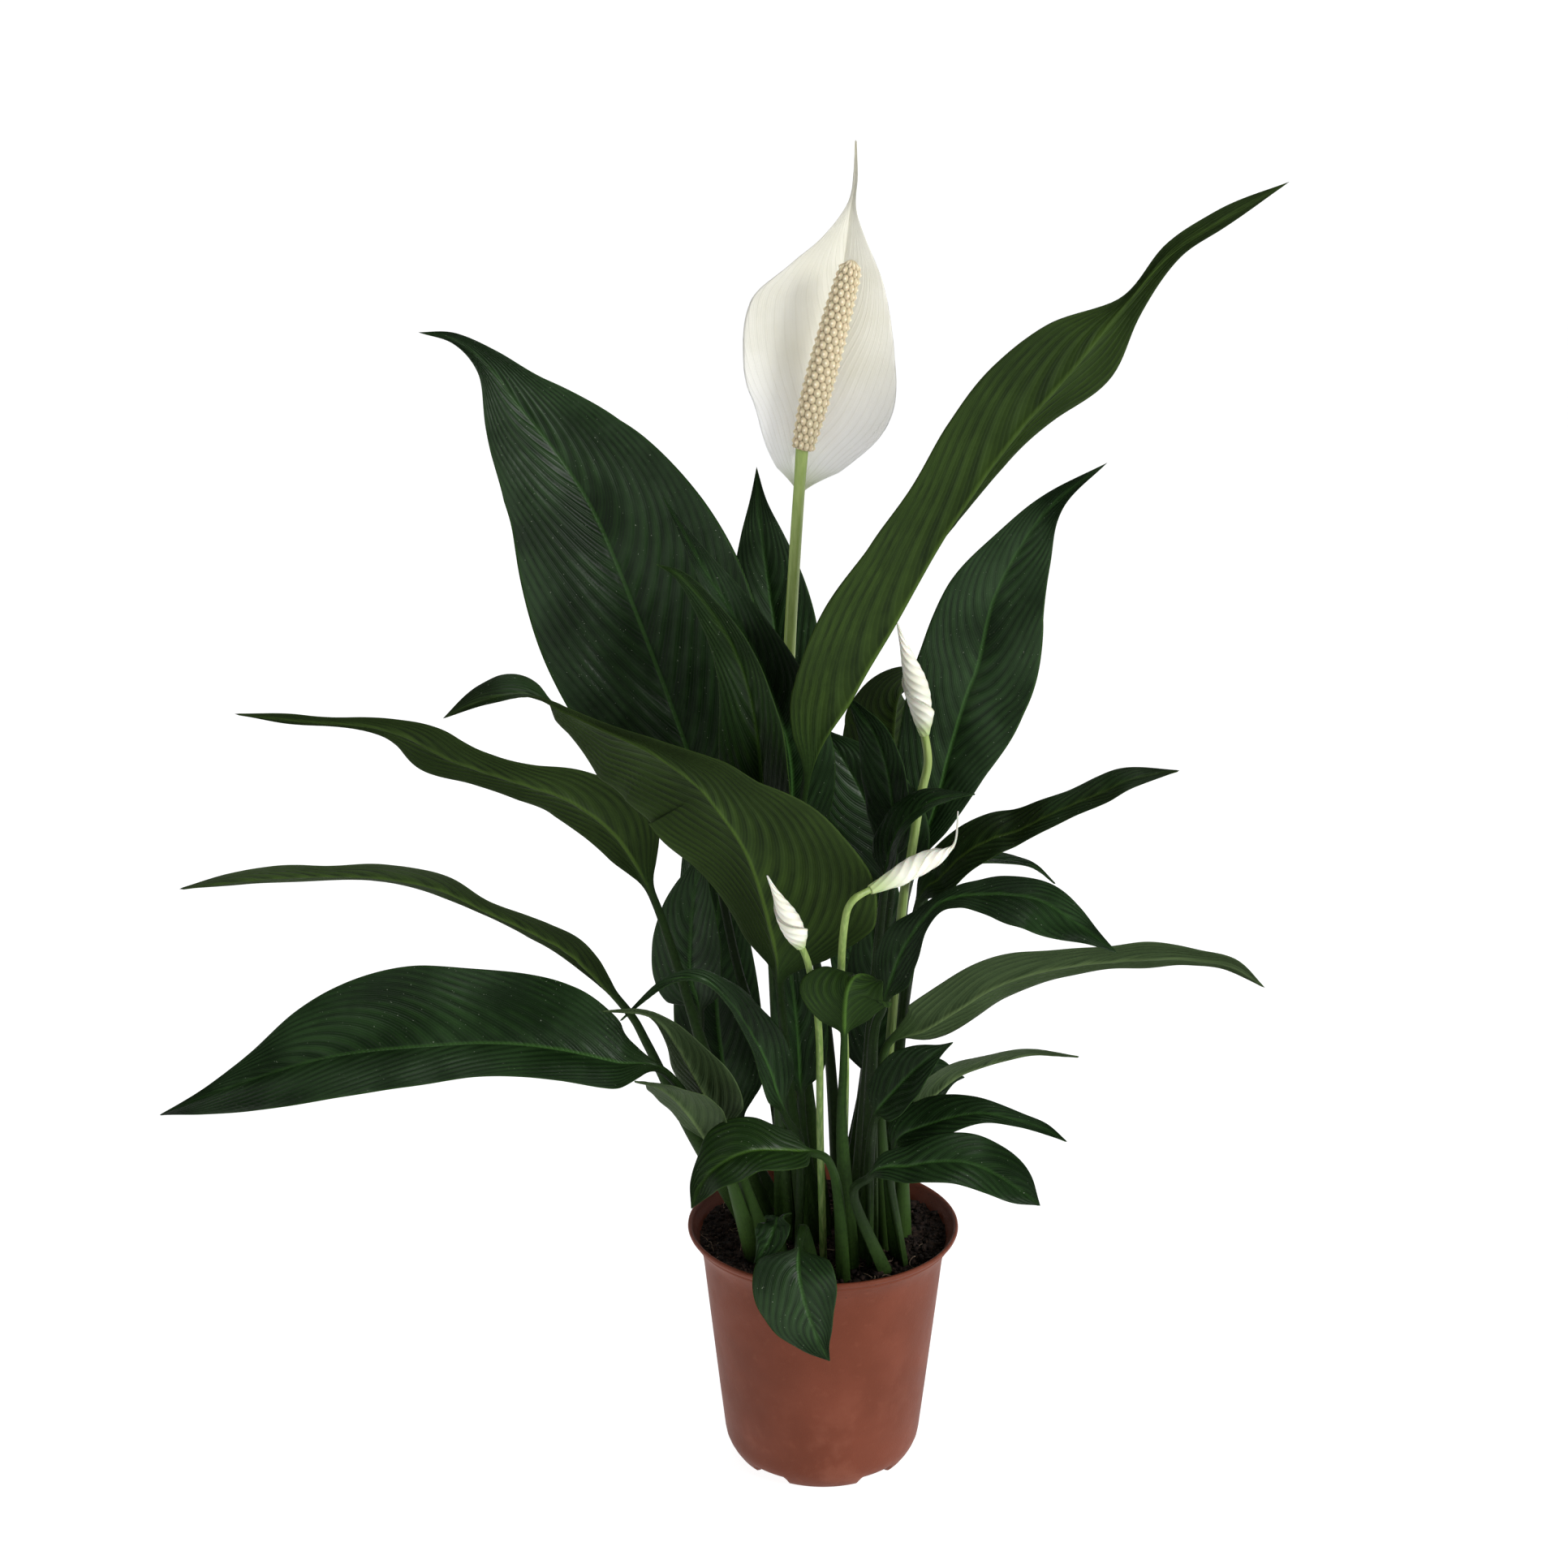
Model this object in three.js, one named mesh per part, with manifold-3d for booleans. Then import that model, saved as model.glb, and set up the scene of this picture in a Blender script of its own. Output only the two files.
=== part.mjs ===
// Potted peace lily: a clump of arching, lance-shaped leaves with one open flower and three
// furled buds, growing from peat in a flared plastic nursery pot.
// Millimetres, +Z up. The origin is the centre of the pot's underside, where it stands.

import * as THREE from 'three';
import { mergeVertices } from 'three/addons/utils/BufferGeometryUtils.js';
import Module from 'manifold-3d';

const wasm = await Module();
wasm.setup();

// ---- driving dimensions -------------------------------------------------------------------

const POT_HEIGHT = 111;
const POT_RIM_RADIUS = 60;
const POT_NECK_RADIUS = 52.8;
const POT_NECK_Z = 92;
const POT_LOW_RADIUS = 43.8;
const POT_LOW_Z = 10;
const POT_FOOT_RADIUS = 39.8;
const POT_WALL = 1.5;
const POT_FLOOR_Z = 6;
const POT_SIDES = 48;
const FOOT_COUNT = 5;
const FOOT_HEIGHT = 4.5;
const FOOT_ARC = THREE.MathUtils.degToRad(46);
const PAD_RADIUS = 9;

const SOIL_TOP_Z = 102;
const GAP = 0.3;

// Height at which the stalks leave the soil.
const CROWN_Z = 103.5;

// A leaf stalk's radius at the soil and where the blade begins, and the blade's thickness.
const STALK_BASE_RADIUS = 2.5;
const STALK_TOP_RADIUS = 1.9;
const BLADE_ABOVE = 0.3;
const BLADE_BELOW = 0.6;

// Share of the blade's length over which the stalk melts into the midrib.
const MIDRIB_SHARE = 0.15;

// Half-widths of a plain blade from its base to its tip, as shares of the widest.
const PLAIN_BLADE = [0.35, 0.76, 0.95, 1, 0.93, 0.76, 0.5, 0.2, 0];

const STALK_RINGS = 5;
const BLADE_RINGS = 11;

// Leaf tones: the upper face is dark, the underside olive or grey, young leaves bright.
const DARK = 0x3c5a3a;
const OLIVE = 0x5a7048;
const GREY = 0x7d8f78;
const BRIGHT = 0x4f7a3f;

// ---- leaves -------------------------------------------------------------------------------
// path: the stalk and then the midrib, from the soil to the tip; the blade starts at point
// bladeFrom. left and right: half-widths at even steps along the blade, seen on the upper face
// with the tip up; width stands for a plain blade's full width. facing: where the upper face
// looks, at even steps along the blade. fold: how far the halves lift from flat, in degrees.

const LEAVES = {
  tall_left: {
    path: [[-12, 12, CROWN_Z], [-22, 16, 170], [-38, 24, 223], [-51, 36, 287], [-58, 39, 313],
          [-79, 43, 372], [-97, 45, 418], [-112, 45, 444], [-129, 43, 467], [-141, 40, 484],
          [-154, 36, 495], [-168, 30, 499]],
    bladeFrom: 3, fold: [10], tone: DARK,
    left: [15, 35, 42, 45, 42, 34, 23, 5, 0],
    right: [15, 37, 47, 50, 46, 35, 21, 7, 0],
    facing: [[0.1, -1, 0.25]],
  },
  broad_front: {
    path: [[-6, -14, CROWN_Z], [-15, -24, 185], [-19, -42, 238], [-21, -50, 260], [-31, -60, 300],
          [-45, -66, 325], [-54, -66, 335], [-70, -64, 346], [-86, -61, 353], [-102, -58, 360],
          [-118, -56, 367], [-135, -56, 365], [-152, -58, 358]],
    bladeFrom: 2, fold: [8], tone: OLIVE,
    left: [22, 41, 45, 36, 21, 9, 4, 3, 3, 0],
    right: [8, 13, 19, 29, 34, 34, 33, 19, 10, 0],
    facing: [[0.2, 0.9, 0.3], [0.2, 0.9, 0.3], [0.2, 0.9, 0.3], [0.2, 0.9, 0.3], [0.2, 0.9, 0.35],
            [0.1, 0.9, 0.4], [0.1, 0.85, 0.45], [0.05, 0.6, 0.8], [-0.1, -0.6, 0.8], [-0.1, -0.9, 0.4]],
  },
  far_left_high: {
    path: [[-22, -2, CROWN_Z], [-48, -4, 181], [-63, -6, 234], [-72, -8, 264], [-81, -10, 284],
          [-91, -13, 299], [-107, -16, 312], [-124, -18, 319], [-140, -20, 325],
          [-156, -23, 332], [-172, -26, 342], [-188, -28, 347], [-213, -32, 350], [-239, -36, 354]],
    bladeFrom: 3, fold: [8], tone: OLIVE,
    left: [5, 13, 20, 16, 10, 9, 11, 6, 3, 3, 0],
    right: [3, 8, 12, 14, 12, 11, 13, 6, 3, 3, 0],
    facing: [[-0.3, 0.75, 0.55]],
  },
  far_left_low: {
    path: [[-30, 4, CROWN_Z], [-59, 2, 155], [-76, -4, 196], [-85, -8, 215], [-106, -12, 241],
          [-122, -16, 253], [-142, -19, 264], [-162, -22, 275], [-185, -26, 281],
          [-207, -30, 283], [-233, -34, 283], [-266, -38, 280]],
    bladeFrom: 3, fold: [8], tone: OLIVE,
    left: [3, 6, 9, 9, 7, 13, 13, 9, 12, 9, 0],
    right: [3, 5, 8, 9, 8, 14, 15, 13, 14, 10, 0],
    facing: [[-0.3, 0.5, 0.8]],
  },
  big_low_left: {
    path: [[-26, -16, CROWN_Z], [-45, -44, 165], [-65, -58, 206], [-86, -64, 214],
          [-108, -68, 221], [-131, -71, 225], [-157, -73, 225], [-199, -75, 221],
          [-236, -76, 210], [-271, -76, 196]],
    bladeFrom: 2, fold: [22], tone: DARK,
    left: [8, 19, 23, 26, 26, 29, 33, 32, 25, 13, 0],
    right: [6, 16, 26, 31, 33, 34, 31, 23, 12, 4, 0],
    facing: [[-0.1, -0.5, 0.85]],
  },
  upper_right: {
    path: [[2, 2, CROWN_Z], [-10, -2, 210], [-9, -22, 317], [10, -30, 361], [26, -32, 390],
          [42, -34, 420], [56, -36, 443], [73, -36, 467], [93, -34, 490], [112, -30, 513],
          [132, -24, 535], [151, -20, 547], [179, -14, 562]],
    bladeFrom: 2, fold: [34, 34, 30, 14, 5, 5], tone: OLIVE,
    left: [8, 16, 20, 20, 17, 10, 8, 11, 17, 8, 4, 3, 0],
    right: [12, 22, 28, 30, 26, 22, 24, 25, 19, 3, 4, 4, 0],
    facing: [[-0.8, 0.5, 0.3], [-0.8, 0.55, 0.3], [-0.75, 0.6, 0.3], [-0.3, 0.9, 0.3], [-0.2, 0.95, 0.2],
            [0.2, 0.95, 0.2], [0.3, 0.9, 0.2]],
  },
  right_tall: {
    path: [[24, 6, CROWN_Z], [29, 10, 155], [33, 18, 221], [37, 24, 262], [48, 28, 293],
          [54, 30, 318], [61, 32, 343], [66, 33, 357], [72, 34, 385], [84, 34, 410],
          [97, 32, 428], [118, 30, 445]],
    bladeFrom: 3, fold: [10], tone: DARK,
    left: [8, 18, 22, 25, 26, 21, 12, 5, 0],
    right: [2, 8, 17, 25, 26, 23, 15, 4, 0],
    facing: [[-0.05, -1, 0.25]],
  },
  centre_back: {
    path: [[-4, 14, CROWN_Z], [-13, 36, 214], [-17, 50, 323], [-20, 54, 359], [-25, 54, 395],
          [-28, 52, 420], [-29, 50, 440]],
    bladeFrom: 2, width: 38, fold: [15], tone: DARK,
    facing: [[0, -1, 0.1]],
  },
  centre_left_a: {
    path: [[-14, 3, CROWN_Z], [-17, 6, 245], [-14, 0, 316], [-23, -6, 356], [-36, -10, 385],
          [-51, -14, 411], [-66, -20, 440]],
    bladeFrom: 1, fold: [20], tone: DARK,
    left: [4, 10, 16, 19, 17, 13, 9, 4, 0],
    right: [4, 10, 16, 19, 17, 13, 9, 4, 0],
    facing: [[0.4, -0.8, 0.4]],
  },
  centre_left_b: {
    path: [[-16, -6, CROWN_Z], [-23, -16, 253], [-26, -32, 324], [-30, -38, 358],
          [-37, -42, 382], [-48, -48, 402], [-57, -54, 414], [-67, -62, 421]],
    bladeFrom: 1, fold: [20], tone: BRIGHT,
    left: [4, 10, 16, 18, 16, 12, 8, 4, 0],
    right: [4, 10, 16, 18, 16, 12, 8, 4, 0],
    facing: [[-0.4, -0.75, 0.4]],
  },
  right_back_olive: {
    path: [[14, 20, CROWN_Z], [27, 44, 231], [31, 54, 300], [31, 60, 321], [35, 66, 338],
          [49, 76, 341]],
    bladeFrom: 2, width: 46, fold: [10], tone: OLIVE,
    facing: [[-0.2, 0.8, 0.6]],
  },
  left_small_dark: {
    path: [[-22, 10, CROWN_Z], [-53, 16, 166], [-54, 15, 203], [-58, 14, 221], [-58, 13, 238],
          [-56, 12, 261], [-51, 10, 284]],
    bladeFrom: 2, width: 34, fold: [15], tone: DARK,
    facing: [[-0.3, -0.9, 0.2]],
  },
  arching_inner: {
    path: [[-10, -22, CROWN_Z], [-10, -34, 160], [-17, -41, 180], [-24, -47, 205],
          [-31, -51, 221], [-40, -55, 237], [-51, -59, 248], [-65, -63, 248], [-84, -66, 233]],
    bladeFrom: 2, fold: [12], tone: DARK,
    left: [5, 9, 10, 8, 6, 5, 4, 3, 0],
    right: [5, 12, 14, 14, 12, 8, 5, 3, 0],
    facing: [[0.3, -0.5, 0.8], [0.3, -0.5, 0.8], [0.2, -0.3, 0.9], [0, -0.05, 1], [0, 0, 1]],
  },
  grey_left_a: {
    path: [[-22, -26, CROWN_Z], [-35, -42, 152], [-41, -50, 178], [-46, -54, 189],
          [-53, -58, 204], [-60, -61, 219], [-67, -64, 231], [-75, -67, 237], [-91, -70, 239]],
    bladeFrom: 2, fold: [10], tone: GREY,
    left: [6, 13, 17, 17, 14, 9, 4, 2, 0],
    right: [6, 12, 15, 14, 10, 7, 4, 2, 0],
    facing: [[0.4, 0.7, 0.6]],
  },
  grey_left_b: {
    path: [[-30, -22, CROWN_Z], [-40, -50, 156], [-47, -57, 174], [-58, -67, 195],
          [-67, -79, 209], [-77, -90, 217]],
    bladeFrom: 2, width: 32, fold: [10], tone: GREY,
    facing: [[0.2, 0.5, 0.8]],
  },
  centre_right_a: {
    path: [[10, -4, CROWN_Z], [22, -5, 211], [29, -8, 282], [28, -6, 310], [23, -2, 331],
          [15, 2, 344], [6, 6, 353]],
    bladeFrom: 2, width: 26, fold: [15], tone: DARK,
    facing: [[-0.6, -0.6, 0.3]],
  },
  centre_right_b: {
    path: [[8, 6, CROWN_Z], [21, 14, 188], [27, 20, 258], [21, 23, 291], [9, 25, 316],
          [-5, 27, 333]],
    bladeFrom: 2, width: 50, fold: [12], tone: DARK,
    facing: [[-0.3, -0.8, 0.4]],
  },
  thin_right: {
    path: [[14, -16, CROWN_Z], [20, -20, 217], [25, -24, 279], [30, -26, 301], [41, -28, 313],
          [51, -30, 317], [61, -32, 319]],
    bladeFrom: 2, width: 24, fold: [15], tone: DARK,
    facing: [[-0.3, -0.3, 0.9]],
  },
  right_mid_upper: {
    path: [[26, -8, CROWN_Z], [33, -8, 201], [39, -12, 262], [49, -14, 277], [59, -16, 288],
          [70, -18, 295], [80, -20, 299], [91, -23, 306], [102, -25, 312], [114, -27, 318],
          [125, -29, 324], [144, -32, 329]],
    bladeFrom: 2, fold: [10], tone: OLIVE,
    left: [6, 13, 15, 15, 11, 9, 10, 6, 0],
    right: [6, 13, 15, 15, 11, 9, 10, 6, 0],
    facing: [[-0.1, -0.35, 0.9]],
  },
  right_mid_droop: {
    path: [[20, -20, CROWN_Z], [20, -34, 205], [24, -40, 229], [31, -46, 255], [43, -52, 276],
          [53, -54, 282], [63, -57, 284], [72, -60, 285], [85, -64, 284], [98, -68, 277],
          [116, -73, 265]],
    bladeFrom: 2, fold: [12], tone: DARK,
    left: [4, 8, 10, 10, 6, 4, 6, 8, 9, 9, 7, 3, 0],
    right: [4, 8, 10, 10, 6, 5, 8, 13, 18, 19, 14, 6, 0],
    facing: [[0, -0.55, 0.85]],
  },
  right_arch_thin: {
    path: [[32, 2, CROWN_Z], [33, 4, 189], [43, 2, 263], [52, 0, 274], [63, -3, 280],
          [77, -6, 281], [88, -10, 280], [97, -14, 274]],
    bladeFrom: 2, width: 24, fold: [10], tone: DARK,
    facing: [[0, 0.12, 1]],
  },
  right_long_low: {
    path: [[30, -14, CROWN_Z], [24, -25, 171], [26, -28, 206], [42, -31, 216], [56, -33, 226],
          [70, -35, 236], [85, -38, 243], [107, -42, 249], [137, -47, 253], [152, -49, 253],
          [166, -51, 251], [180, -52, 242]],
    bladeFrom: 2, fold: [12], tone: GREY,
    left: [6, 15, 17, 17, 15, 11, 8, 9, 6, 4, 0],
    right: [6, 14, 15, 16, 14, 10, 8, 9, 6, 4, 0],
    facing: [[-0.2, 0.85, 0.5]],
  },
  right_pointed: {
    path: [[18, -28, CROWN_Z], [19, -39, 159], [21, -48, 183], [28, -51, 195], [39, -55, 209],
          [52, -59, 221]],
    bladeFrom: 2, width: 26, fold: [12], tone: DARK,
    facing: [[-0.3, -0.6, 0.7]],
  },
  right_low_thin: {
    path: [[36, -4, CROWN_Z], [35, -9, 148], [39, -13, 171], [47, -16, 180], [57, -18, 189],
          [67, -20, 194], [78, -22, 198], [90, -24, 201], [108, -27, 201]],
    bladeFrom: 2, width: 30, fold: [12], tone: GREY,
    facing: [[-0.3, 0.5, 0.85]],
  },
  right_low_back: {
    path: [[31, 14, CROWN_Z], [32, 20, 139], [34, 23, 153], [42, 26, 164], [53, 28, 168],
          [64, 30, 167]],
    bladeFrom: 2, width: 32, fold: [12], tone: DARK,
    facing: [[-0.2, -0.6, 0.7]],
  },
  right_low_a: {
    path: [[34, -24, CROWN_Z], [27, -41, 152], [29, -45, 165], [32, -46, 173], [42, -49, 179],
          [55, -53, 185], [66, -57, 188], [78, -61, 187], [89, -65, 185], [99, -69, 181]],
    bladeFrom: 2, fold: [12], tone: DARK,
    left: [5, 12, 13, 12, 9, 6, 4, 3, 0],
    right: [5, 12, 13, 12, 9, 6, 4, 3, 0],
    facing: [[0, -0.4, 0.9]],
  },
  right_low_b: {
    path: [[28, -34, CROWN_Z], [12, -54, 148], [18, -61, 161], [24, -64, 167], [34, -67, 169],
          [42, -70, 172], [52, -73, 174], [60, -76, 174], [69, -79, 171], [78, -82, 166],
          [87, -85, 160]],
    bladeFrom: 2, fold: [12], tone: DARK,
    left: [4, 7, 10, 12, 13, 13, 12, 8, 0],
    right: [4, 7, 10, 12, 13, 13, 12, 8, 0],
    facing: [[0, -0.5, 0.85]],
  },
  front_left_low: {
    path: [[8, -38, CROWN_Z], [6, -50, 145], [2, -60, 167], [-5, -65, 174], [-19, -73, 179],
          [-32, -79, 181], [-44, -84, 177], [-51, -85, 169], [-55, -88, 160]],
    bladeFrom: 3, fold: [12], tone: BRIGHT,
    left: [5, 10, 13, 14, 14, 14, 10, 6, 0],
    right: [5, 9, 12, 15, 17, 15, 9, 4, 0],
    facing: [[0, -0.45, 0.9]],
  },
  front_hanging: {
    path: [[-6, -38, CROWN_Z], [-9, -50, 132], [-11, -62, 130], [-11, -70, 121], [-8, -74, 108],
          [-3, -76, 94], [2, -76, 84]],
    bladeFrom: 2, fold: [10], tone: DARK,
    left: [7, 13, 15, 15, 13, 10, 7, 3, 0],
    right: [9, 17, 20, 20, 18, 15, 10, 5, 0],
    facing: [[0, -1, 0.3]],
  },
  front_small: {
    path: [[-18, -36, CROWN_Z], [-19, -46, 134], [-21, -52, 134], [-24, -58, 129], [-30, -62, 122]],
    bladeFrom: 1, width: 16, fold: [10], tone: DARK,
    facing: [[0, 0.8, 0.3], [0, 0.3, 1], [0, -0.5, 0.9], [0, -1, 0.4]],
  },
  front_cup: {
    path: [[12, -32, CROWN_Z], [7, -50, 175], [7, -66, 215], [7, -72, 229], [7, -76, 242],
          [8, -75, 250], [11, -69, 253], [16, -59, 250], [22, -48, 243]],
    bladeFrom: 3, fold: [10], tone: BRIGHT,
    left: [3, 10, 16, 19, 17, 12, 8, 4, 0],
    right: [3, 10, 16, 19, 14, 7, 4, 2, 0],
    facing: [[0, 0.95, 0.2], [0, 0.9, 0.1], [0, 0.6, -0.5], [0.1, 0.2, -0.95], [0.2, 0.1, -0.9]],
  },
  dark_back_left: {
    path: [[-18, 18, CROWN_Z], [-31, 30, 128], [-36, 33, 140], [-43, 37, 161], [-47, 40, 189],
          [-48, 43, 219], [-46, 46, 249], [-44, 50, 282]],
    bladeFrom: 2, width: 40, fold: [8], tone: DARK,
    facing: [[0.1, -1, 0.1]],
  },
  mid_back_right: {
    path: [[14, 10, CROWN_Z], [18, 20, 143], [20, 25, 168], [23, 30, 197], [22, 33, 231],
          [20, 34, 257]],
    bladeFrom: 2, width: 30, fold: [12], tone: DARK,
    facing: [[0, -1, 0.1]],
  },
  centre_narrow: {
    path: [[0, -9, CROWN_Z], [-8, -12, 150], [-10, -14, 177], [-11, -14, 200], [-13, -14, 222],
          [-18, -14, 259]],
    bladeFrom: 2, width: 26, fold: [15], tone: DARK,
    facing: [[0.3, -0.9, 0.1]],
  },
  back_left: {
    path: [[-12, 28, CROWN_Z], [-20, 48, 152], [-40, 66, 203], [-53, 70, 264], [-75, 95, 322],
          [-96, 115, 361], [-116, 125, 399], [-129, 128, 421]],
    bladeFrom: 3, width: 56, fold: [10], tone: DARK,
    facing: [[0.3, 0.9, 0.3]],
  },
  back_right: {
    path: [[20, 24, CROWN_Z], [30, 54, 200], [46, 75, 270], [62, 100, 309], [76, 118, 343],
          [87, 126, 370]],
    bladeFrom: 2, width: 50, fold: [10], tone: DARK,
    facing: [[-0.3, 0.9, 0.3]],
  },
  back_centre: {
    path: [[8, 29, CROWN_Z], [0, 50, 201], [-23, 90, 273], [-42, 120, 320], [-62, 145, 353],
          [-81, 160, 377]],
    bladeFrom: 2, width: 50, fold: [10], tone: DARK,
    facing: [[0.1, 0.6, 0.8]],
  },
  back_low_left: {
    path: [[-30, 22, CROWN_Z], [-40, 42, 145], [-44, 70, 177], [-54, 100, 206], [-62, 125, 234],
          [-68, 140, 254]],
    bladeFrom: 2, width: 34, fold: [10], tone: DARK,
    facing: [[0, 0.5, 0.9]],
  },
  back_low_right: {
    path: [[30, 26, CROWN_Z], [21, 46, 143], [21, 80, 177], [23, 110, 211], [26, 135, 235],
          [32, 150, 251]],
    bladeFrom: 2, width: 36, fold: [10], tone: DARK,
    facing: [[0, 0.5, 0.9]],
  },
};

// ---- flower stalks and buds ---------------------------------------------------------------

const FLOWER_STALK = [
  [-8, 8, CROWN_Z], [-18, 12, 298], [-15, 12, 369], [-14, 10, 390], [-12, 6, 425], [-10, 2, 454.5],
];
const FLOWER_STALK_RADIUS = 2.5;

const SPADIX = [[-9.7, 2, 455.4], [-5, 1, 475], [0, 0, 494], [5, -1, 513], [10, -2, 531]];
const SPADIX_RADII = [4.4, 5.4, 5.7, 5.6, 4.9, 2.6];

const SPATHE = {
  path: [
    [-11, 9, 435], [-9, 13, 454], [-5, 16, 471], [-1, 18, 490], [4, 18, 510], [7, 17, 529],
    [9, 15, 546], [11, 11, 561], [11, 6, 577],
  ],
  bladeFrom: 0, fold: [12],
  left: [2, 13, 22, 30, 34, 36, 33, 22, 10, 2, 1, 0],
  right: [2, 19, 28, 33, 32, 28, 22, 16, 8, 2, 1, 0],
  facing: [[0, -1, 0.1]],
};

const BUDS = {
  bud_upper: {
    stalk: [
      [19, 0, CROWN_Z], [26, 1, 158], [31, 3, 225], [34, 4, 262], [37, 7, 279], [41, 12, 304],
      [44, 14, 319], [42, 13, 332.5],
    ],
    body: [[42, 13, 333.2], [40, 12, 348], [35, 10, 364], [30, 8, 381]],
    radii: [2.4, 4.6, 5.2, 4.6, 2.8, 0.5],
  },
  bud_side: {
    stalk: [
      [7, -22, CROWN_Z], [8, -42, 171], [8, -50, 212], [6, -57, 248], [7, -66, 275],
      [10, -70, 286], [17.4, -66.3, 289.7],
    ],
    body: [[18, -66, 290], [30, -60, 294], [40, -54, 297], [48, -50, 300], [52, -48, 304], [53, -46, 316]],
    radii: [2.2, 4.2, 5, 4.4, 1.6, 0.6],
  },
  bud_front: {
    stalk: [[0, -28, CROWN_Z], [-2, -40, 170], [-3, -54, 224], [-7, -62, 254], [-10.6, -65.8, 265.4]],
    body: [[-11, -66, 266], [-14, -68, 275], [-19, -71, 286], [-24, -74, 298]],
    radii: [2.4, 4.6, 5, 4, 2, 0.4],
  },
};
const BUD_STALK_RADIUS = 2.1;

// ---- shared geometry ----------------------------------------------------------------------

const plant = new THREE.Group();

function addMesh(group, name, geometry, color, roughness) {
  const material = new THREE.MeshStandardMaterial({ color, roughness, metalness: 0 });
  const mesh = new THREE.Mesh(geometry, material);
  mesh.name = name;
  group.add(mesh);
}

// A closed skin over rings of equal point counts, each ring turning anticlockwise as seen from
// the next one. The last ring closes on a point. The second half of a ring cuts its squares along
// the other diagonal, so that the two faces of a thin twisted blade bend alike and never cross.
function skin(rings, tip) {
  const sides = rings[0].length;
  const points = [...rings.flat(), tip];
  const faces = [];
  for (let ring = 0; ring < rings.length - 1; ring++) {
    for (let side = 0; side < sides; side++) {
      const a = ring * sides + side;
      const b = ring * sides + (side + 1) % sides;
      if (side < sides / 2) faces.push(a, b, b + sides, a, b + sides, a + sides);
      else faces.push(a, b, a + sides, b, b + sides, a + sides);
    }
  }
  const last = (rings.length - 1) * sides;
  for (let side = 0; side < sides; side++) {
    faces.push(last + side, last + (side + 1) % sides, points.length - 1);
  }
  for (let side = 1; side < sides - 1; side++) faces.push(0, side + 1, side);
  const geometry = new THREE.BufferGeometry();
  geometry.setAttribute('position', new THREE.Float32BufferAttribute(
    points.flatMap((point) => point.toArray()), 3));
  geometry.setIndex(faces);
  return geometry;
}

function curveThrough(path) {
  const points = path.map((point) => new THREE.Vector3(...point));
  return new THREE.CatmullRomCurve3(points, false, 'catmullrom', 0.5);
}

// A value read off a list of evenly spaced values, along a smooth curve through them.
function valueAlong(values, share) {
  if (values.length === 1) return values[0];
  return curveThrough(values.map((value) => [value, 0, 0])).getPoint(share).x;
}

// Half-width of a blade: rounded at the base, then along the list.
function halfWidth(values, share) {
  const base = Math.sqrt(Math.min(1, share / 0.07));
  return Math.max(0, valueAlong(values, share)) * base;
}

// Curve parameters that cut the stretch from `start` to the end into steps of equal length.
function evenSteps(curve, start, count) {
  const fine = 200;
  const at = (i) => start + (1 - start) * i / fine;
  const lengths = [0];
  for (let i = 1; i <= fine; i++) {
    lengths.push(lengths[i - 1] + curve.getPoint(at(i)).distanceTo(curve.getPoint(at(i - 1))));
  }
  return Array.from({ length: count }, (_, step) => {
    const wanted = lengths[fine] * step / count;
    const above = Math.max(1, lengths.findIndex((length) => length >= wanted));
    const span = lengths[above] - lengths[above - 1];
    return at(above - 1 + (wanted - lengths[above - 1]) / span);
  });
}

// The section plane at a curve parameter: `across` runs to the right of the upper face, `up`
// out of it.
function sectionAt(curve, t, facing) {
  const tangent = curve.getTangent(t);
  const across = new THREE.Vector3().crossVectors(tangent, facing).normalize();
  return { centre: curve.getPoint(t), tangent, across, up: across.clone().cross(tangent) };
}

// The eight points of a leaf's section: a round stalk where the half-widths are the stalk's
// radius, and a thin folded lens with a keel below where they are wide.
function leafRing(section, left, right, fold, above, below) {
  const { centre, across, up } = section;
  const cosine = Math.cos(fold);
  const sine = Math.sin(fold);
  const place = (side, width, lift) => centre.clone()
    .addScaledVector(across, side * width * cosine)
    .addScaledVector(up, width * sine + lift);
  const midRight = Math.max(right / 2, Math.min(right, above) * 0.7);
  const midLeft = Math.max(left / 2, Math.min(left, above) * 0.7);
  return [
    place(1, right, 0), place(1, midRight, -0.75 * below),
    place(0, 0, -below), place(-1, midLeft, -0.75 * below),
    place(-1, left, 0), place(-1, midLeft, 0.75 * above),
    place(0, 0, above), place(1, midRight, 0.75 * above),
  ];
}

// ---- a leaf: stalk and blade grown as one -------------------------------------------------

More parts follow.
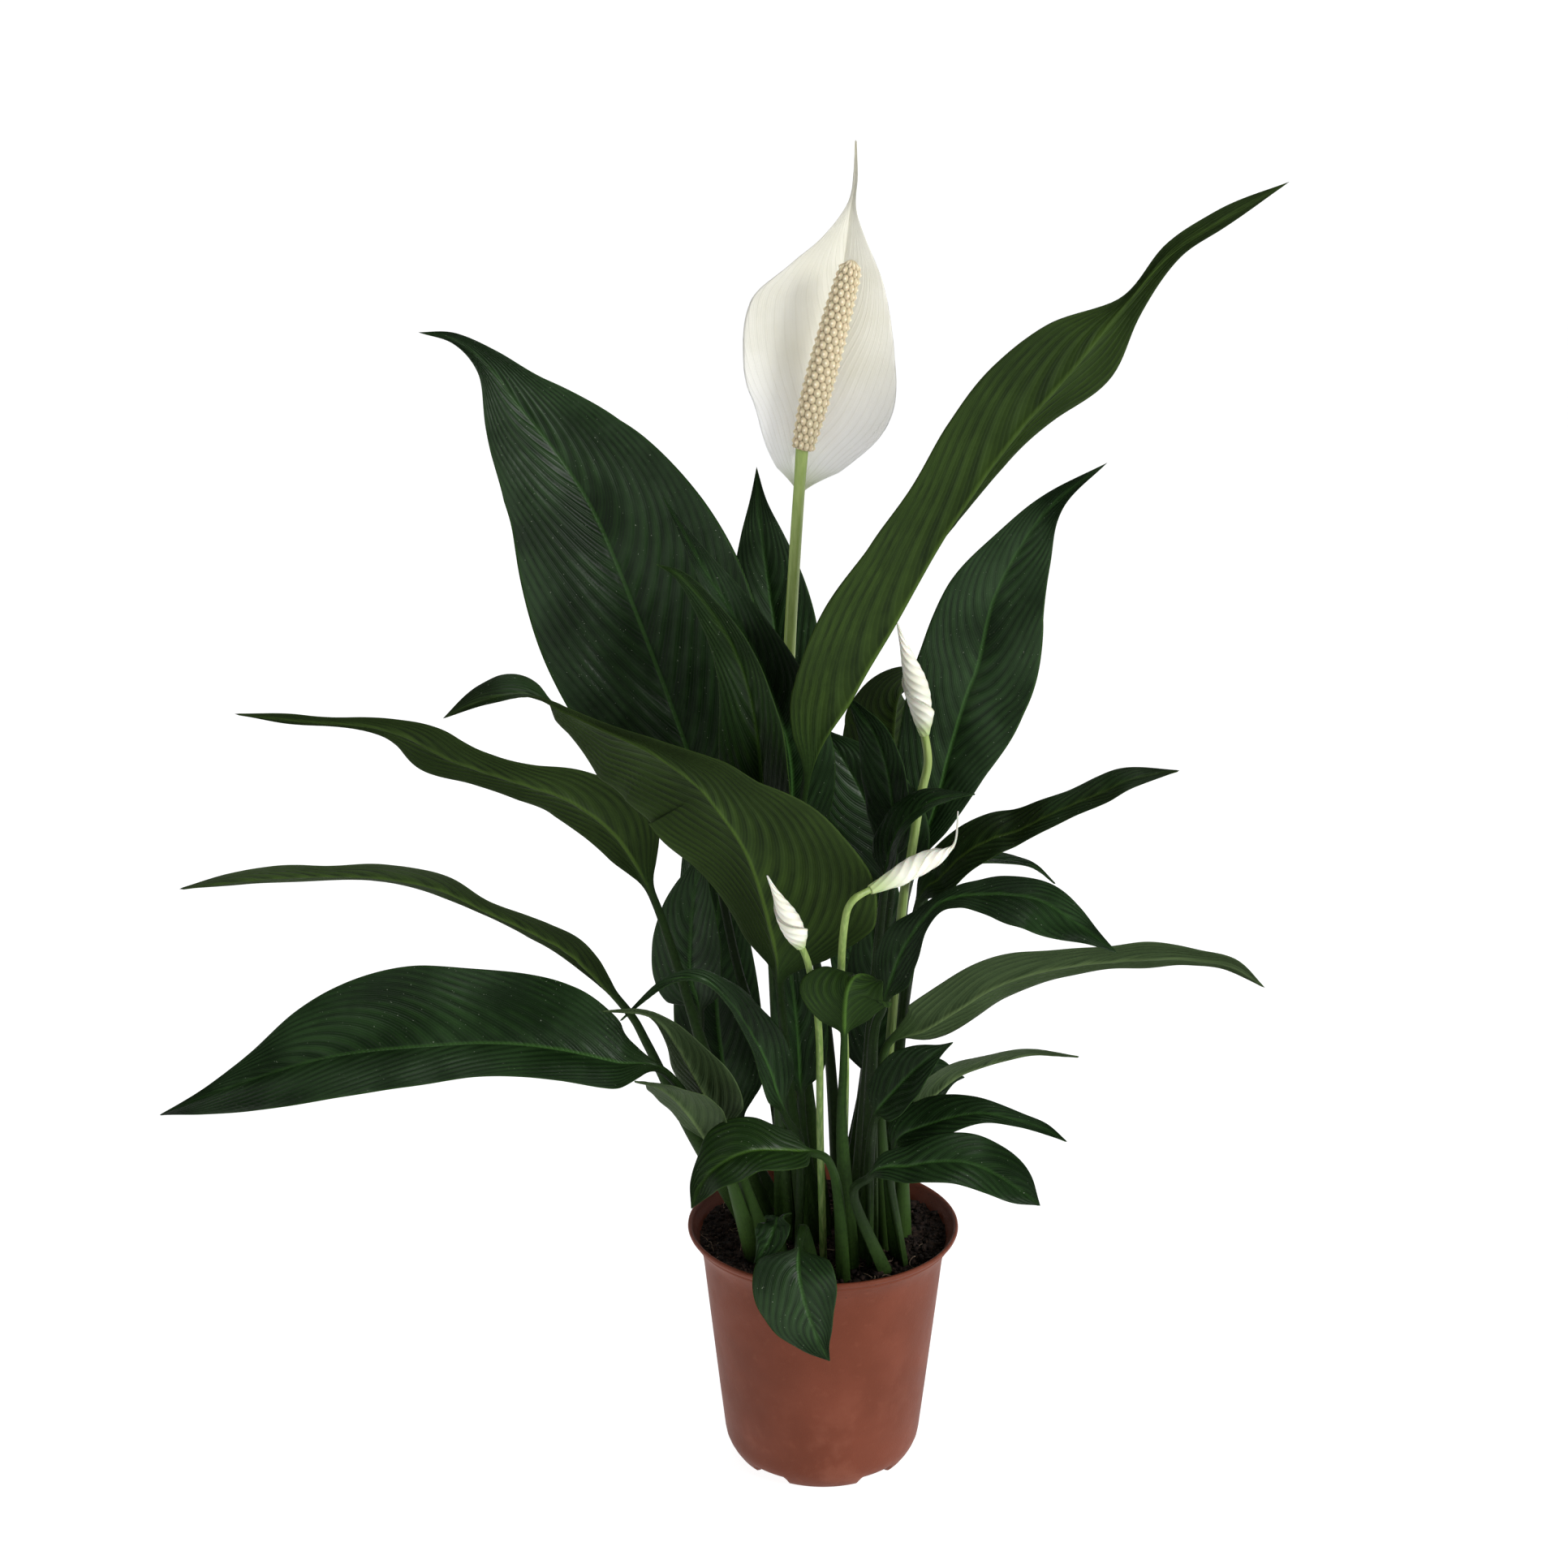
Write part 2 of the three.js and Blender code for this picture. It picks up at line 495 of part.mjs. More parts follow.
function leafGeometry({ path, bladeFrom, width, left, right, facing, fold }) {
  const curve = curveThrough(path);
  const start = bladeFrom / (path.length - 1);
  const half = PLAIN_BLADE.map((share) => share * width / 2);
  const facings = facing.map((vector) => new THREE.Vector3(...vector).normalize());
  const facingAt = (share) => {
    const place = share * (facings.length - 1);
    const index = Math.min(Math.floor(place), facings.length - 2);
    if (index < 0) return facings[0];
    return facings[index].clone().lerp(facings[index + 1], place - index);
  };
  const base = sectionAt(curve, Math.max(start, 1e-4), facings[0]);
  const rings = [];
  if (bladeFrom > 0) {
    for (let step = 0; step < STALK_RINGS; step++) {
      const share = step / STALK_RINGS;
      const t = start * share;
      const tangent = curve.getTangent(t);
      const up = base.across.clone().cross(tangent).normalize();
      const across = tangent.clone().cross(up);
      const radius = THREE.MathUtils.lerp(STALK_BASE_RADIUS, STALK_TOP_RADIUS, share);
      rings.push(leafRing({ centre: curve.getPoint(t), across, up }, radius, radius, 0, radius, radius));
    }
  }
  evenSteps(curve, start, BLADE_RINGS).forEach((t, step) => {
    const share = step / BLADE_RINGS;
    const section = sectionAt(curve, t, facingAt(share));
    const rib = STALK_TOP_RADIUS * Math.max(0, 1 - share / MIDRIB_SHARE) ** 2;
    const taper = 1 - 0.6 * share;
    rings.push(leafRing(
      section,
      Math.max(rib, halfWidth(left ?? half, share)), Math.max(rib, halfWidth(right ?? half, share)),
      THREE.MathUtils.degToRad(valueAlong(fold, share)),
      BLADE_ABOVE * taper + rib, BLADE_BELOW * taper + rib,
    ));
  });
  return skin(rings, curve.getPoint(1));
}

const leaves = new THREE.Group();
for (const [name, leaf] of Object.entries(LEAVES)) {
  addMesh(leaves, `leaf_${name}`, leafGeometry(leaf), leaf.tone, 0.45);
}
plant.add(leaves);

// ---- round stalks and buds: eight-sided sections along a curve ----------------------------

function roundGeometry(path, radii, steps) {
  const curve = curveThrough(path);
  const sideways = new THREE.Vector3(1, 0.3, 0);
  const rings = [];
  for (let step = 0; step < steps; step++) {
    const share = step / steps;
    const { centre, across, up } = sectionAt(curve, share, sideways);
    const radius = valueAlong(radii, share);
    rings.push(Array.from({ length: 8 }, (_, side) => {
      const angle = -side * Math.PI / 4;
      return centre.clone()
        .addScaledVector(across, radius * Math.cos(angle))
        .addScaledVector(up, radius * Math.sin(angle));
    }));
  }
  return skin(rings, curve.getPoint(1));
}

const flower = new THREE.Group();
addMesh(flower, 'flower_stalk', roundGeometry(FLOWER_STALK, [FLOWER_STALK_RADIUS], 14), 0x9db36a, 0.5);
addMesh(flower, 'flower_spadix', roundGeometry(SPADIX, SPADIX_RADII, 12), 0xe9dcc0, 0.7);
addMesh(flower, 'flower_spathe', leafGeometry(SPATHE), 0xf3f1e6, 0.6);
plant.add(flower);

const buds = new THREE.Group();
for (const [name, bud] of Object.entries(BUDS)) {
  addMesh(buds, `${name}_stalk`, roundGeometry(bud.stalk, [BUD_STALK_RADIUS], 14), 0x8fae62, 0.5);
  addMesh(buds, name, roundGeometry(bud.body, bud.radii, 8), 0xf1f0e4, 0.6);
}
plant.add(buds);

// ---- pot: a flared tapering shell on five feet --------------------------------------------

// The outer radius of the pot's straight body at a height.
function bodyRadius(z) {
  return THREE.MathUtils.mapLinear(z, POT_LOW_Z, POT_NECK_Z, POT_LOW_RADIUS, POT_NECK_RADIUS);
}

// The wall is one revolved outline, closed on itself on the axis side by the floor.
function potShell() {
  const neck = POT_NECK_RADIUS;
  const outline = [
    [0, 0], [PAD_RADIUS, 0], [PAD_RADIUS, FOOT_HEIGHT], [POT_FOOT_RADIUS - 7, FOOT_HEIGHT],
    [POT_FOOT_RADIUS - 7, 0], [POT_FOOT_RADIUS - 2, 0], [POT_FOOT_RADIUS, 1.5],
    [42.3, 6], [bodyRadius(12), 12], [neck, POT_NECK_Z], [54, 100], [55.8, 104],
    [58, 107.5], [POT_RIM_RADIUS, 109.5], [POT_RIM_RADIUS, POT_HEIGHT],
    [58, POT_HEIGHT], [56, 106.8], [54, 103], [neck - POT_WALL + 0.6, 98],
    [bodyRadius(POT_NECK_Z - 2) - POT_WALL, POT_NECK_Z - 2],
    [bodyRadius(12) - POT_WALL, 12], [39.5, POT_FLOOR_Z], [0, POT_FLOOR_Z],
  ];
  return new THREE.LatheGeometry(outline.map(([r, z]) => new THREE.Vector2(r, z)), POT_SIDES)
    .rotateX(Math.PI / 2);
}

function toSolid(geometry) {
  const bare = geometry.clone();
  bare.deleteAttribute('normal');
  bare.deleteAttribute('uv');
  const merged = mergeVertices(bare, 1e-4);
  return new wasm.Manifold(new wasm.Mesh({
    numProp: 3,
    vertProperties: new Float32Array(merged.attributes.position.array),
    triVerts: new Uint32Array(merged.index.array),
  }));
}

function toGeometry(solid) {
  const mesh = solid.getMesh();
  const geometry = new THREE.BufferGeometry();
  geometry.setAttribute('position', new THREE.BufferAttribute(mesh.vertProperties, 3));
  geometry.setIndex(new THREE.BufferAttribute(mesh.triVerts, 1));
  return geometry;
}

// A wedge that clears the foot ring between two feet.
function footGap(angle) {
  const arc = 2 * Math.PI / FOOT_COUNT - FOOT_ARC;
  const inner = POT_FOOT_RADIUS - 9;
  const outer = POT_FOOT_RADIUS + 8;
  const shape = new THREE.Shape();
  shape.absarc(0, 0, outer, angle - arc / 2, angle + arc / 2, false);
  shape.absarc(0, 0, inner, angle + arc / 2, angle - arc / 2, true);
  shape.closePath();
  const geometry = new THREE.ExtrudeGeometry(shape, {
    depth: FOOT_HEIGHT + 1, bevelEnabled: false, curveSegments: 6,
  });
  return geometry.translate(0, 0, -1);
}

function potGeometry() {
  let solid = toSolid(potShell());
  const frontGap = -Math.PI / 2 + Math.PI / FOOT_COUNT;
  for (let foot = 0; foot < FOOT_COUNT; foot++) {
    solid = solid.subtract(toSolid(footGap(frontGap + foot * 2 * Math.PI / FOOT_COUNT)));
  }
  return toGeometry(solid);
}

addMesh(plant, 'pot', potGeometry(), 0xa9614c, 0.6);

// ---- root ball: peat and roots filling the pot --------------------------------------------

function soilGeometry() {
  const innerRadius = (z) => bodyRadius(z) - POT_WALL - GAP;
  const outline = [
    [0, POT_FLOOR_Z + GAP], [39, POT_FLOOR_Z + GAP], [innerRadius(12.5), 12.5],
    [innerRadius(POT_NECK_Z - 3), POT_NECK_Z - 3], [innerRadius(POT_NECK_Z - 3) + 1, SOIL_TOP_Z],
    [0, SOIL_TOP_Z],
  ];
  return new THREE.LatheGeometry(outline.map(([r, z]) => new THREE.Vector2(r, z)), POT_SIDES)
    .rotateX(Math.PI / 2);
}

addMesh(plant, 'soil', soilGeometry(), 0x2b2320, 0.95);

export default plant;
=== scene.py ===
"""A potted peace lily: nursery pot, peat, thirty-nine leaves, one open flower and three buds.

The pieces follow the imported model's frame: metres, +Z up, the pot standing on the origin.
Paths and widths are written in millimetres.
"""

import math

import bpy
import numpy as np
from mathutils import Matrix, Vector


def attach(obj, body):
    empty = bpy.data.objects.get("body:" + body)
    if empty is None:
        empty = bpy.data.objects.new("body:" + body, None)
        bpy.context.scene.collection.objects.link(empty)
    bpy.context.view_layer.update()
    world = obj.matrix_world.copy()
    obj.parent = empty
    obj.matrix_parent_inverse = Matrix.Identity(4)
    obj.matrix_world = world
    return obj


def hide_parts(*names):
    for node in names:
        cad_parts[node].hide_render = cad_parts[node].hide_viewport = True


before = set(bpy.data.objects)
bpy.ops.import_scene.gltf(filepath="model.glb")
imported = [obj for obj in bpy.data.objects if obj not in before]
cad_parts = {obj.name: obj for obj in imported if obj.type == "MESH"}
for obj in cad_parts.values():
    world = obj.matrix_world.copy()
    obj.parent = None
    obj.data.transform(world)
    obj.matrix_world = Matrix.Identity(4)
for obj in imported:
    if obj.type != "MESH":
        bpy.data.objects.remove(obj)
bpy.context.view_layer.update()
MM = 0.001
scene = bpy.context.scene

# ---- camera --------------------------------------------------------------------------------
# A metre in front of the pot, a little higher than the flower, and looking down on it.

camera = bpy.data.objects.new("camera", bpy.data.cameras.new("camera"))
camera.data.lens = 58.15
camera.data.sensor_width = 36
camera.data.clip_start = 0.05
camera.data.clip_end = 50
camera.location = (-0.0173, -1.023, 0.620)
camera.rotation_euler = (math.radians(90 - 16.67), 0, 0)
scene.collection.objects.link(camera)
scene.camera = camera

# ---- nursery pot ---------------------------------------------------------------------------
# Thin injection-moulded polypropylene in terracotta brown: a straight taper that flares to a
# trumpet rim with a thin moulded lip, and stands on five short feet round a central pad.

POT_SIDES = 240
POT_FEET = 5
FOOT_HALF_ARC = math.radians(23)
FOOT_CLEARANCE = 4.5
FOOT_CORNER = math.radians(2.6)
POT_OUTLINE = [
    (0, 0), (7.5, 0), (8.6, 0.3), (9, 1.2), (9, 4.5), (20, 4.5), (32.8, 4.5), (33, 1.2), (33.6, 0.3),
    (34.3, 0), (37, 0), (38.4, 0.4), (39.4, 1.3), (41, 3.6), (42.3, 6), (43.4, 8.8), (44, 12),
    (46.4, 33), (48.7, 54), (50.9, 74), (52.4, 88), (52.8, 92), (53.3, 96), (54, 99.6), (54.8, 101.8),
    (55.8, 103.7), (57, 105.4), (57.9, 106.5), (58.1, 106.9), (58, 107.5), (58.4, 107.9),
    (59.2, 108.5), (59.7, 109.1), (60, 109.9), (59.9, 110.6), (59.4, 111), (58.7, 110.9),
    (58.1, 110.3), (57.7, 109.4), (57.1, 108.2), (56.2, 106.9), (55.3, 105.4), (54.4, 103.4),
    (53.9, 103.1), (53.2, 102.2), (52.5, 99.5), (52, 96), (51.3, 91), (49.2, 72), (45, 34),
    (42.6, 12), (41.2, 8), (39.5, 6), (20, 6), (0, 6),
]


def smooth_path(points, at):
    """Points at shares `at` (0 to 1) of the smooth curve through `points`.

    Each stretch is the cubic that leaves and reaches its ends with slopes of half the chord
    between the neighbouring points, and the end slopes come from mirrored neighbours.
    """
    points = np.asarray(points, float)
    ends = 2 * points[[0, -1]] - points[[1, -2]]
    padded = np.vstack([ends[:1], points, ends[1:]])
    place = np.clip(at, 0, 1) * (len(points) - 1)
    first = np.minimum(place.astype(int), len(points) - 2)
    step = (place - first)[:, None]
    before, here, after, beyond = (padded[first + shift] for shift in range(4))
    slope_out, slope_in = (after - before) / 2, (beyond - here) / 2
    cubic = 2 * (here - after) + slope_out + slope_in
    square = 3 * (after - here) - 2 * slope_out - slope_in
    return ((cubic * step + square) * step + slope_out) * step + here


def grid_faces(rows, columns, closed):
    """Quads of a grid of points, row by row; `closed` joins the last column to the first."""
    row, column = np.mgrid[0:rows - 1, 0:columns if closed else columns - 1]
    here, beside = row * columns + column, row * columns + (column + 1) % columns
    return np.stack([here, beside, beside + columns, here + columns], -1).reshape(-1, 4)


def capped_skin(rings, first, last):
    """Rings of points joined into a skin, closed by a fan to `first` and one to `last`."""
    rows, columns = rings.shape[:2]
    side = np.arange(columns)
    beside = (side + 1) % columns
    top, tips = (rows - 1) * columns, rows * columns
    first_fan = np.stack([beside, side, np.full(columns, tips)], 1)
    last_fan = np.stack([top + side, top + beside, np.full(columns, tips + 1)], 1)
    points = np.vstack([rings.reshape(-1, 3), first, last])
    return points, [*grid_faces(rows, columns, closed=True), *first_fan, *last_fan]


def make_piece(name, points, faces, finish, node, slot, values=None):
    """A smooth mesh in metres that rides on the plant's body; `values` are its point attributes."""
    mesh = bpy.data.meshes.new(name)
    mesh.from_pydata(np.asarray(points, float) * MM, [], [list(map(int, face)) for face in faces])
    mesh.shade_smooth()
    mesh.validate()
    for key, numbers in (values or {}).items():
        attribute = mesh.attributes.new(key, "FLOAT", "POINT")
        attribute.data.foreach_set("value", np.asarray(numbers, np.float32).ravel())
    mesh.materials.append(finish)
    piece = bpy.data.objects.new(name, mesh)
    scene.collection.objects.link(piece)
    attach(piece, "root")
    if node:
        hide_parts(node)
    return piece


class Wire:
    """A shader value; sums and products of wires and numbers add their Math nodes."""

    def __init__(self, finish, socket):
        self.finish, self.socket = finish, socket

    def maths(self, operation, *values):
        return self.finish.node("ShaderNodeMath", {"operation": operation}, *values)

    def __add__(self, other):
        return self.maths("ADD", self, other)

    def __sub__(self, other):
        return self.maths("SUBTRACT", self, other)

    def __rsub__(self, other):
        return self.maths("SUBTRACT", other, self)

    def __mul__(self, other):
        return self.maths("MULTIPLY", self, other)

    def __truediv__(self, other):
        return self.maths("DIVIDE", self, other)

    def __pow__(self, other):
        return self.maths("POWER", self, other)

    __radd__, __rmul__ = __add__, __mul__

    def ramp(self, low, high):
        """0 below `low`, 1 above `high` and smooth between; a falling ramp has low above high."""
        smooth = {"interpolation_type": "SMOOTHSTEP"}
        return self.finish.node("ShaderNodeMapRange", smooth, self, low, high)


class Finish:
    """A material on Blender's principled shader, with its constants set on its own sockets."""

    def __init__(self, name, **constants):
        self.material = bpy.data.materials.new(name)
        self.material.use_nodes = True
        self.shader = self.material.node_tree.nodes["Principled BSDF"]
        for socket, value in constants.items():
            self.shader.inputs[socket.replace("_", " ")].default_value = value

    def node(self, kind, settings, *values, output=0, inputs=None, **named):
        """Adds a node, sets its settings, then its sockets' values or links in order or by name."""
        made = self.material.node_tree.nodes.new(kind)
        for key, setting in settings.items():
            setattr(made, key, setting)
        sockets = {**dict(enumerate(values)), **(inputs or {}), **named}
        for key, value in sockets.items():
            if isinstance(value, Wire):
                self.material.node_tree.links.new(value.socket, made.inputs[key])
            else:
                made.inputs[key].default_value = value
        return Wire(self, made.outputs[output])

    def place(self):
        return self.node("ShaderNodeTexCoord", {}, output="Object")

    def noise(self, scale, detail=2.0, vector=None):
        """Soft mottling from 0 to 1; `scale` is in blots per metre."""
        vector = vector or self.place()
        return self.node("ShaderNodeTexNoise", {}, Vector=vector, Scale=scale, Detail=detail)

    def value(self, attribute):
        return self.node("ShaderNodeAttribute", {"attribute_name": attribute}, output="Fac")

    def stripes(self, value):
        """1 where the wire `value` is whole, falling evenly to 0 halfway between."""
        return 1 - self.node("ShaderNodeMath", {"operation": "PINGPONG"}, value, 0.5) * 2

    def mix(self, share, first, second):
        """The colour `first` where share is 0 and `second` where it is 1."""
        sockets = {0: share, 6: first, 7: second}
        return self.node("ShaderNodeMix", {"data_type": "RGBA"}, output=2, inputs=sockets)

    def feed(self, **wires):
        """Links wires into the shader, named by socket, and returns the finished material."""
        for socket, wire in wires.items():
            target = self.shader.inputs[socket.replace("_", " ")]
            self.material.node_tree.links.new(wire.socket, target)
        return self.material

    def bump(self, height, depth):
        """A normal that rises and falls by `depth` metres as height goes from 0 to 1."""
        return self.node("ShaderNodeBump", {}, Strength=1.0, Distance=depth, Height=height)


def colour(red, green, blue):
    """A linear colour from the sRGB values, 0 to 255, of a paint chip."""
    chip = np.array([red, green, blue]) / 255
    linear = np.where(chip <= 0.04045, chip / 12.92, ((chip + 0.055) / 1.055) ** 2.4)
    return (*map(float, linear), 1.0)


def pot_surface():
    """The outline spun round the axis, as (points, faces).

    Under the foot ring, a point's height is raised to the clearance between the feet: the
    share raised goes smoothly from 0 to 1 over one corner's angle at each end of a foot.
    """
    outline = np.array(POT_OUTLINE, float)
    angle = np.linspace(0, 2 * np.pi, POT_SIDES, endpoint=False)[:, None]
    pitch = 2 * np.pi / POT_FEET
    from_foot = np.abs((angle + np.pi / 2 + pitch / 2) % pitch - pitch / 2)
    open_share = np.clip((from_foot - FOOT_HALF_ARC) / FOOT_CORNER, 0, 1)
    open_share = open_share ** 2 * (3 - 2 * open_share)
    radius, height = outline[:, 0], outline[:, 1]
    ring = (radius > 30) & (height < FOOT_CLEARANCE) & (np.arange(len(outline)) < 20)
    lifted = height + np.where(ring, open_share * (FOOT_CLEARANCE - height), 0)
    points = np.stack([radius * np.cos(angle), radius * np.sin(angle), lifted + 0 * angle], -1)
    wall = points[:, 1:-1].transpose(1, 0, 2)
    return capped_skin(wall, [0, 0, outline[0, 1]], [0, 0, outline[-1, 1]])


def pot_plastic():
    """Satin brown plastic: faint cloudy mottling, a fine moulded grain, and grit near the rim."""
    finish = Finish("pot_plastic", Specular_IOR_Level=0.15)
    place = finish.place()
    height = finish.node("ShaderNodeSeparateXYZ", {}, place, output=2)
    cloud = finish.noise(34, 3).ramp(0.34, 0.68)
    body = finish.mix(cloud, colour(103, 51, 33), colour(113, 58, 40))
    body = finish.mix(finish.noise(260, 4).ramp(0.55, 0.75) * 0.25, body, colour(126, 70, 50))
    grit = finish.noise(900, 1).ramp(0.70, 0.76) * height.ramp(0.088, 0.104) * 0.85
    dust = finish.noise(70, 5).ramp(0.5, 0.72) * height.ramp(0.07, 0.012) * 0.1
    body = finish.mix(dust, body, colour(178, 122, 99))
    body = finish.mix(grit, body, colour(54, 33, 26))
    grain = finish.noise(1500, 2) * 0.5 + finish.noise(160, 2) * 0.5
    return finish.feed(
        Base_Color=body,
        Roughness=finish.noise(120, 3) * 0.16 + 0.46,
        Normal=finish.bump(grain, 0.00018),
    )


make_piece("nursery_pot", *pot_surface(), pot_plastic(), "pot", "pot")

# ---- potting peat --------------------------------------------------------------------------
# Dark fibrous peat filling the pot almost to the rim, with loose crumbs on it and the fine pale
# feeding roots that peace lilies send along the surface.

PEAT_TOP = 105
PEAT_RADIUS = 55.4
PEAT_RINGS = 96
PEAT_SIDES = 240
# Radius and height of the peat's base and side, just inside the pot's floor and wall.
PEAT_BASE = [(20, 6.4), (39, 6.4), (42.2, 12.5), (48.8, 70), (50.9, 93), (52.9, 101.5)]
chance = np.random.default_rng(7)


def rolling_height(x, y, layers, seed):
    """A bumpy height in mm: a sum of plane waves, each of a wavelength, depth and heading."""
    draw = np.random.default_rng(seed)
    height = 0 * x
    for wavelength, depth in layers:
        for _ in range(5):
            heading, phase = draw.uniform(0, 2 * np.pi, 2)
            stretch = 2 * np.pi / (wavelength * draw.uniform(0.75, 1.3))
            height = height + depth / 2.2 * np.sin(
                stretch * (x * np.cos(heading) + y * np.sin(heading)) + phase)
    return height


PEAT_BUMPS = [(26, 1.0), (11, 0.75), (4.6, 0.5), (2.2, 0.28)]


def peat_height(x, y):
    """The peat's surface: bumps that fade at the pot's wall, on a mound round the crown."""
    out = np.hypot(x, y) / PEAT_RADIUS
    mound = 2.2 * np.exp(-(out / 0.6) ** 2) - 0.6
    return PEAT_TOP + mound + rolling_height(x, y, PEAT_BUMPS, 3) * (1 - 0.5 * out ** 4)


def peat_surface():
    """A round bumpy top of rings from the rim to the middle, on a plain tapered side and base."""
    angle = np.linspace(0, 2 * np.pi, PEAT_SIDES, endpoint=False)
    rings = PEAT_RADIUS * (1 - np.linspace(0, 1, PEAT_RINGS, endpoint=False))
    base = np.array(PEAT_BASE)
    radius = np.concatenate([base[:, 0], rings])[:, None]
    x, y = radius * np.cos(angle), radius * np.sin(angle)
    top = peat_height(x[len(base):], y[len(base):])
    z = np.vstack([np.repeat(base[:, 1:], PEAT_SIDES, 1), top])
    middle = peat_height(np.zeros(1), np.zeros(1))[0]
    return capped_skin(np.stack([x, y, z], -1), [0, 0, PEAT_BASE[0][1]], [0, 0, middle])


def peat_finish():
    """Almost black moist peat with brown fibres and a few dry paler flecks."""
    finish = Finish("peat", Roughness=0.93, Specular_IOR_Level=0.2)
    body = finish.mix(finish.noise(420, 5).ramp(0.35, 0.7), colour(21, 16, 14), colour(52, 39, 32))
    body = finish.mix(finish.noise(1300, 3).ramp(0.62, 0.72) * 0.6, body, colour(96, 76, 60))
    grain = finish.noise(900, 6) * 0.6 + finish.noise(2600, 3) * 0.4
    return finish.feed(Base_Color=body, Normal=finish.bump(grain, 0.0009))


peat = peat_finish()
make_piece("potting_peat", *peat_surface(), peat, "soil", "soil")


def crumb_surface(count):
    """Crumbs scattered on the peat: each is a lump of eight corners pushed in or out."""
    corners = np.array([[x, y, z] for x in (-1, 1) for y in (-1, 1) for z in (-1, 1)]) * 0.6
    sides = np.array([[0, 1, 3, 2], [4, 6, 7, 5], [0, 4, 5, 1],
                      [2, 3, 7, 6], [0, 2, 6, 4], [1, 5, 7, 3]])
    out = PEAT_RADIUS * np.sqrt(chance.uniform(0.02, 0.94, count))
    heading = chance.uniform(0, 2 * np.pi, count)
    x, y = out * np.cos(heading), out * np.sin(heading)
    size = chance.gamma(3, 0.28, count)[:, None, None] + 0.25
    lumps = corners * chance.uniform(0.6, 1.3, (count, 8, 3))
    lumps = lumps * chance.uniform(0.5, 1.2, (count, 1, 3)) * size
    turn = chance.uniform(0, np.pi, count)
    cosine, sine = np.cos(turn)[:, None], np.sin(turn)[:, None]
    turned = np.stack([lumps[..., 0] * cosine - lumps[..., 1] * sine,
                       lumps[..., 0] * sine + lumps[..., 1] * cosine, lumps[..., 2]], -1)
    at = np.stack([x, y, peat_height(x, y) + 0.2], -1)[:, None]
    faces = sides[None] + 8 * np.arange(count)[:, None, None]
    return (turned + at).reshape(-1, 3), faces.reshape(-1, 4)


make_piece("peat_crumbs", *crumb_surface(2600), peat, None, "soil")


def tube_surface(path, radius_at, rows, sides, sideways=(1, 0.3, 0), relief=None):
    """A round skin along the smooth curve through `path`, closed at both ends, as (points, faces).

    A point is the centre line plus its ring's radius times (across cos angle + up sin angle);
    across is the curve's direction crossed with `sideways`. `relief` adds to the radius, as a
    function of the share along and the angle.
    """
    share = np.linspace(0, 1, rows)
    centre = smooth_path(path, share)
    tangent = np.gradient(centre, axis=0)
    tangent /= np.linalg.norm(tangent, axis=1)[:, None]
    across = np.cross(tangent, sideways)
    across /= np.linalg.norm(across, axis=1)[:, None]
    up = np.cross(across, tangent)
    angle = np.linspace(0, 2 * np.pi, sides, endpoint=False)[None, :]
    radius = radius_at(share)[:, None] + (relief(share[:, None], angle) if relief else 0 * angle)
    ring = (across[:, None] * (radius * np.cos(angle))[..., None]
            - up[:, None] * (radius * np.sin(angle))[..., None])
    return capped_skin(centre[:, None] + ring, centre[0], centre[-1])


def join_surfaces(surfaces):
    """Several (points, faces) as one."""
    points, faces, count = [], [], 0
    for own_points, own_faces in surfaces:
        points.append(own_points)
        faces += [[corner + count for corner in face] for face in own_faces]
        count += len(own_points)
    return np.vstack(points), faces


def root_surface():
    """Roots that wander over the peat: each heading turns a little at every step."""
    roots = []
    for _ in range(60):
        start = chance.uniform(0.35, 0.93) * PEAT_RADIUS
        heading = chance.uniform(0, 2 * np.pi)
        x, y = start * np.cos(heading), start * np.sin(heading)
        bearing = chance.uniform(0, 2 * np.pi)
        walk = []
        for step in range(int(chance.integers(5, 12))):
            if np.hypot(x, y) > PEAT_RADIUS - 1:
                break
            lift = 0.45 + 0.5 * np.sin(step * 1.7 + heading)
            walk.append((x, y, float(peat_height(np.array(x), np.array(y))) + lift))
            bearing += chance.normal(0, 0.5)
            x, y = x + 2.6 * np.cos(bearing), y + 2.6 * np.sin(bearing)
        if len(walk) > 3:
            thick = chance.uniform(0.14, 0.38)
            roots.append(tube_surface(
                walk, lambda share: thick * (1 - 0.6 * share), 5 * len(walk), 6, (0, 0, 1)))
    return join_surfaces(roots)


def root_finish():
    """Dry root skin, tan to grey."""
    finish = Finish("root_skin", Roughness=0.8)
    mottle = finish.noise(300, 3).ramp(0.3, 0.7)
    body = finish.mix(mottle, colour(82, 64, 50), colour(142, 122, 100))
    return finish.feed(Base_Color=body, Normal=finish.bump(finish.noise(2500, 2), 0.0001))


make_piece("surface_roots", *root_surface(), root_finish(), None, "soil")

# ---- leaves --------------------------------------------------------------------------------
# Each leaf is grown as one: a channelled stalk that sheathes at the soil and runs on as the
# blade's midrib, and a thin leathery blade whose side veins are sunk above and raised below.
# path runs up the stalk and out along the midrib, in mm, and the blade starts at its point
# blade_from. left and right are half-widths at even steps, seen on the upper face with the tip
# up, half is both, and width stands for a plain blade. facing is where the upper face looks, at
# even steps, and fold is how far the halves lift, in degrees. tone names the colours in
# LEAF_TONES. relief, sweep, veins, wave and stalk, where given, multiply how deep the ribbing
# is, how far the side veins run forward, how many there are, how wavy the margin is and how
# thick the stalk is.

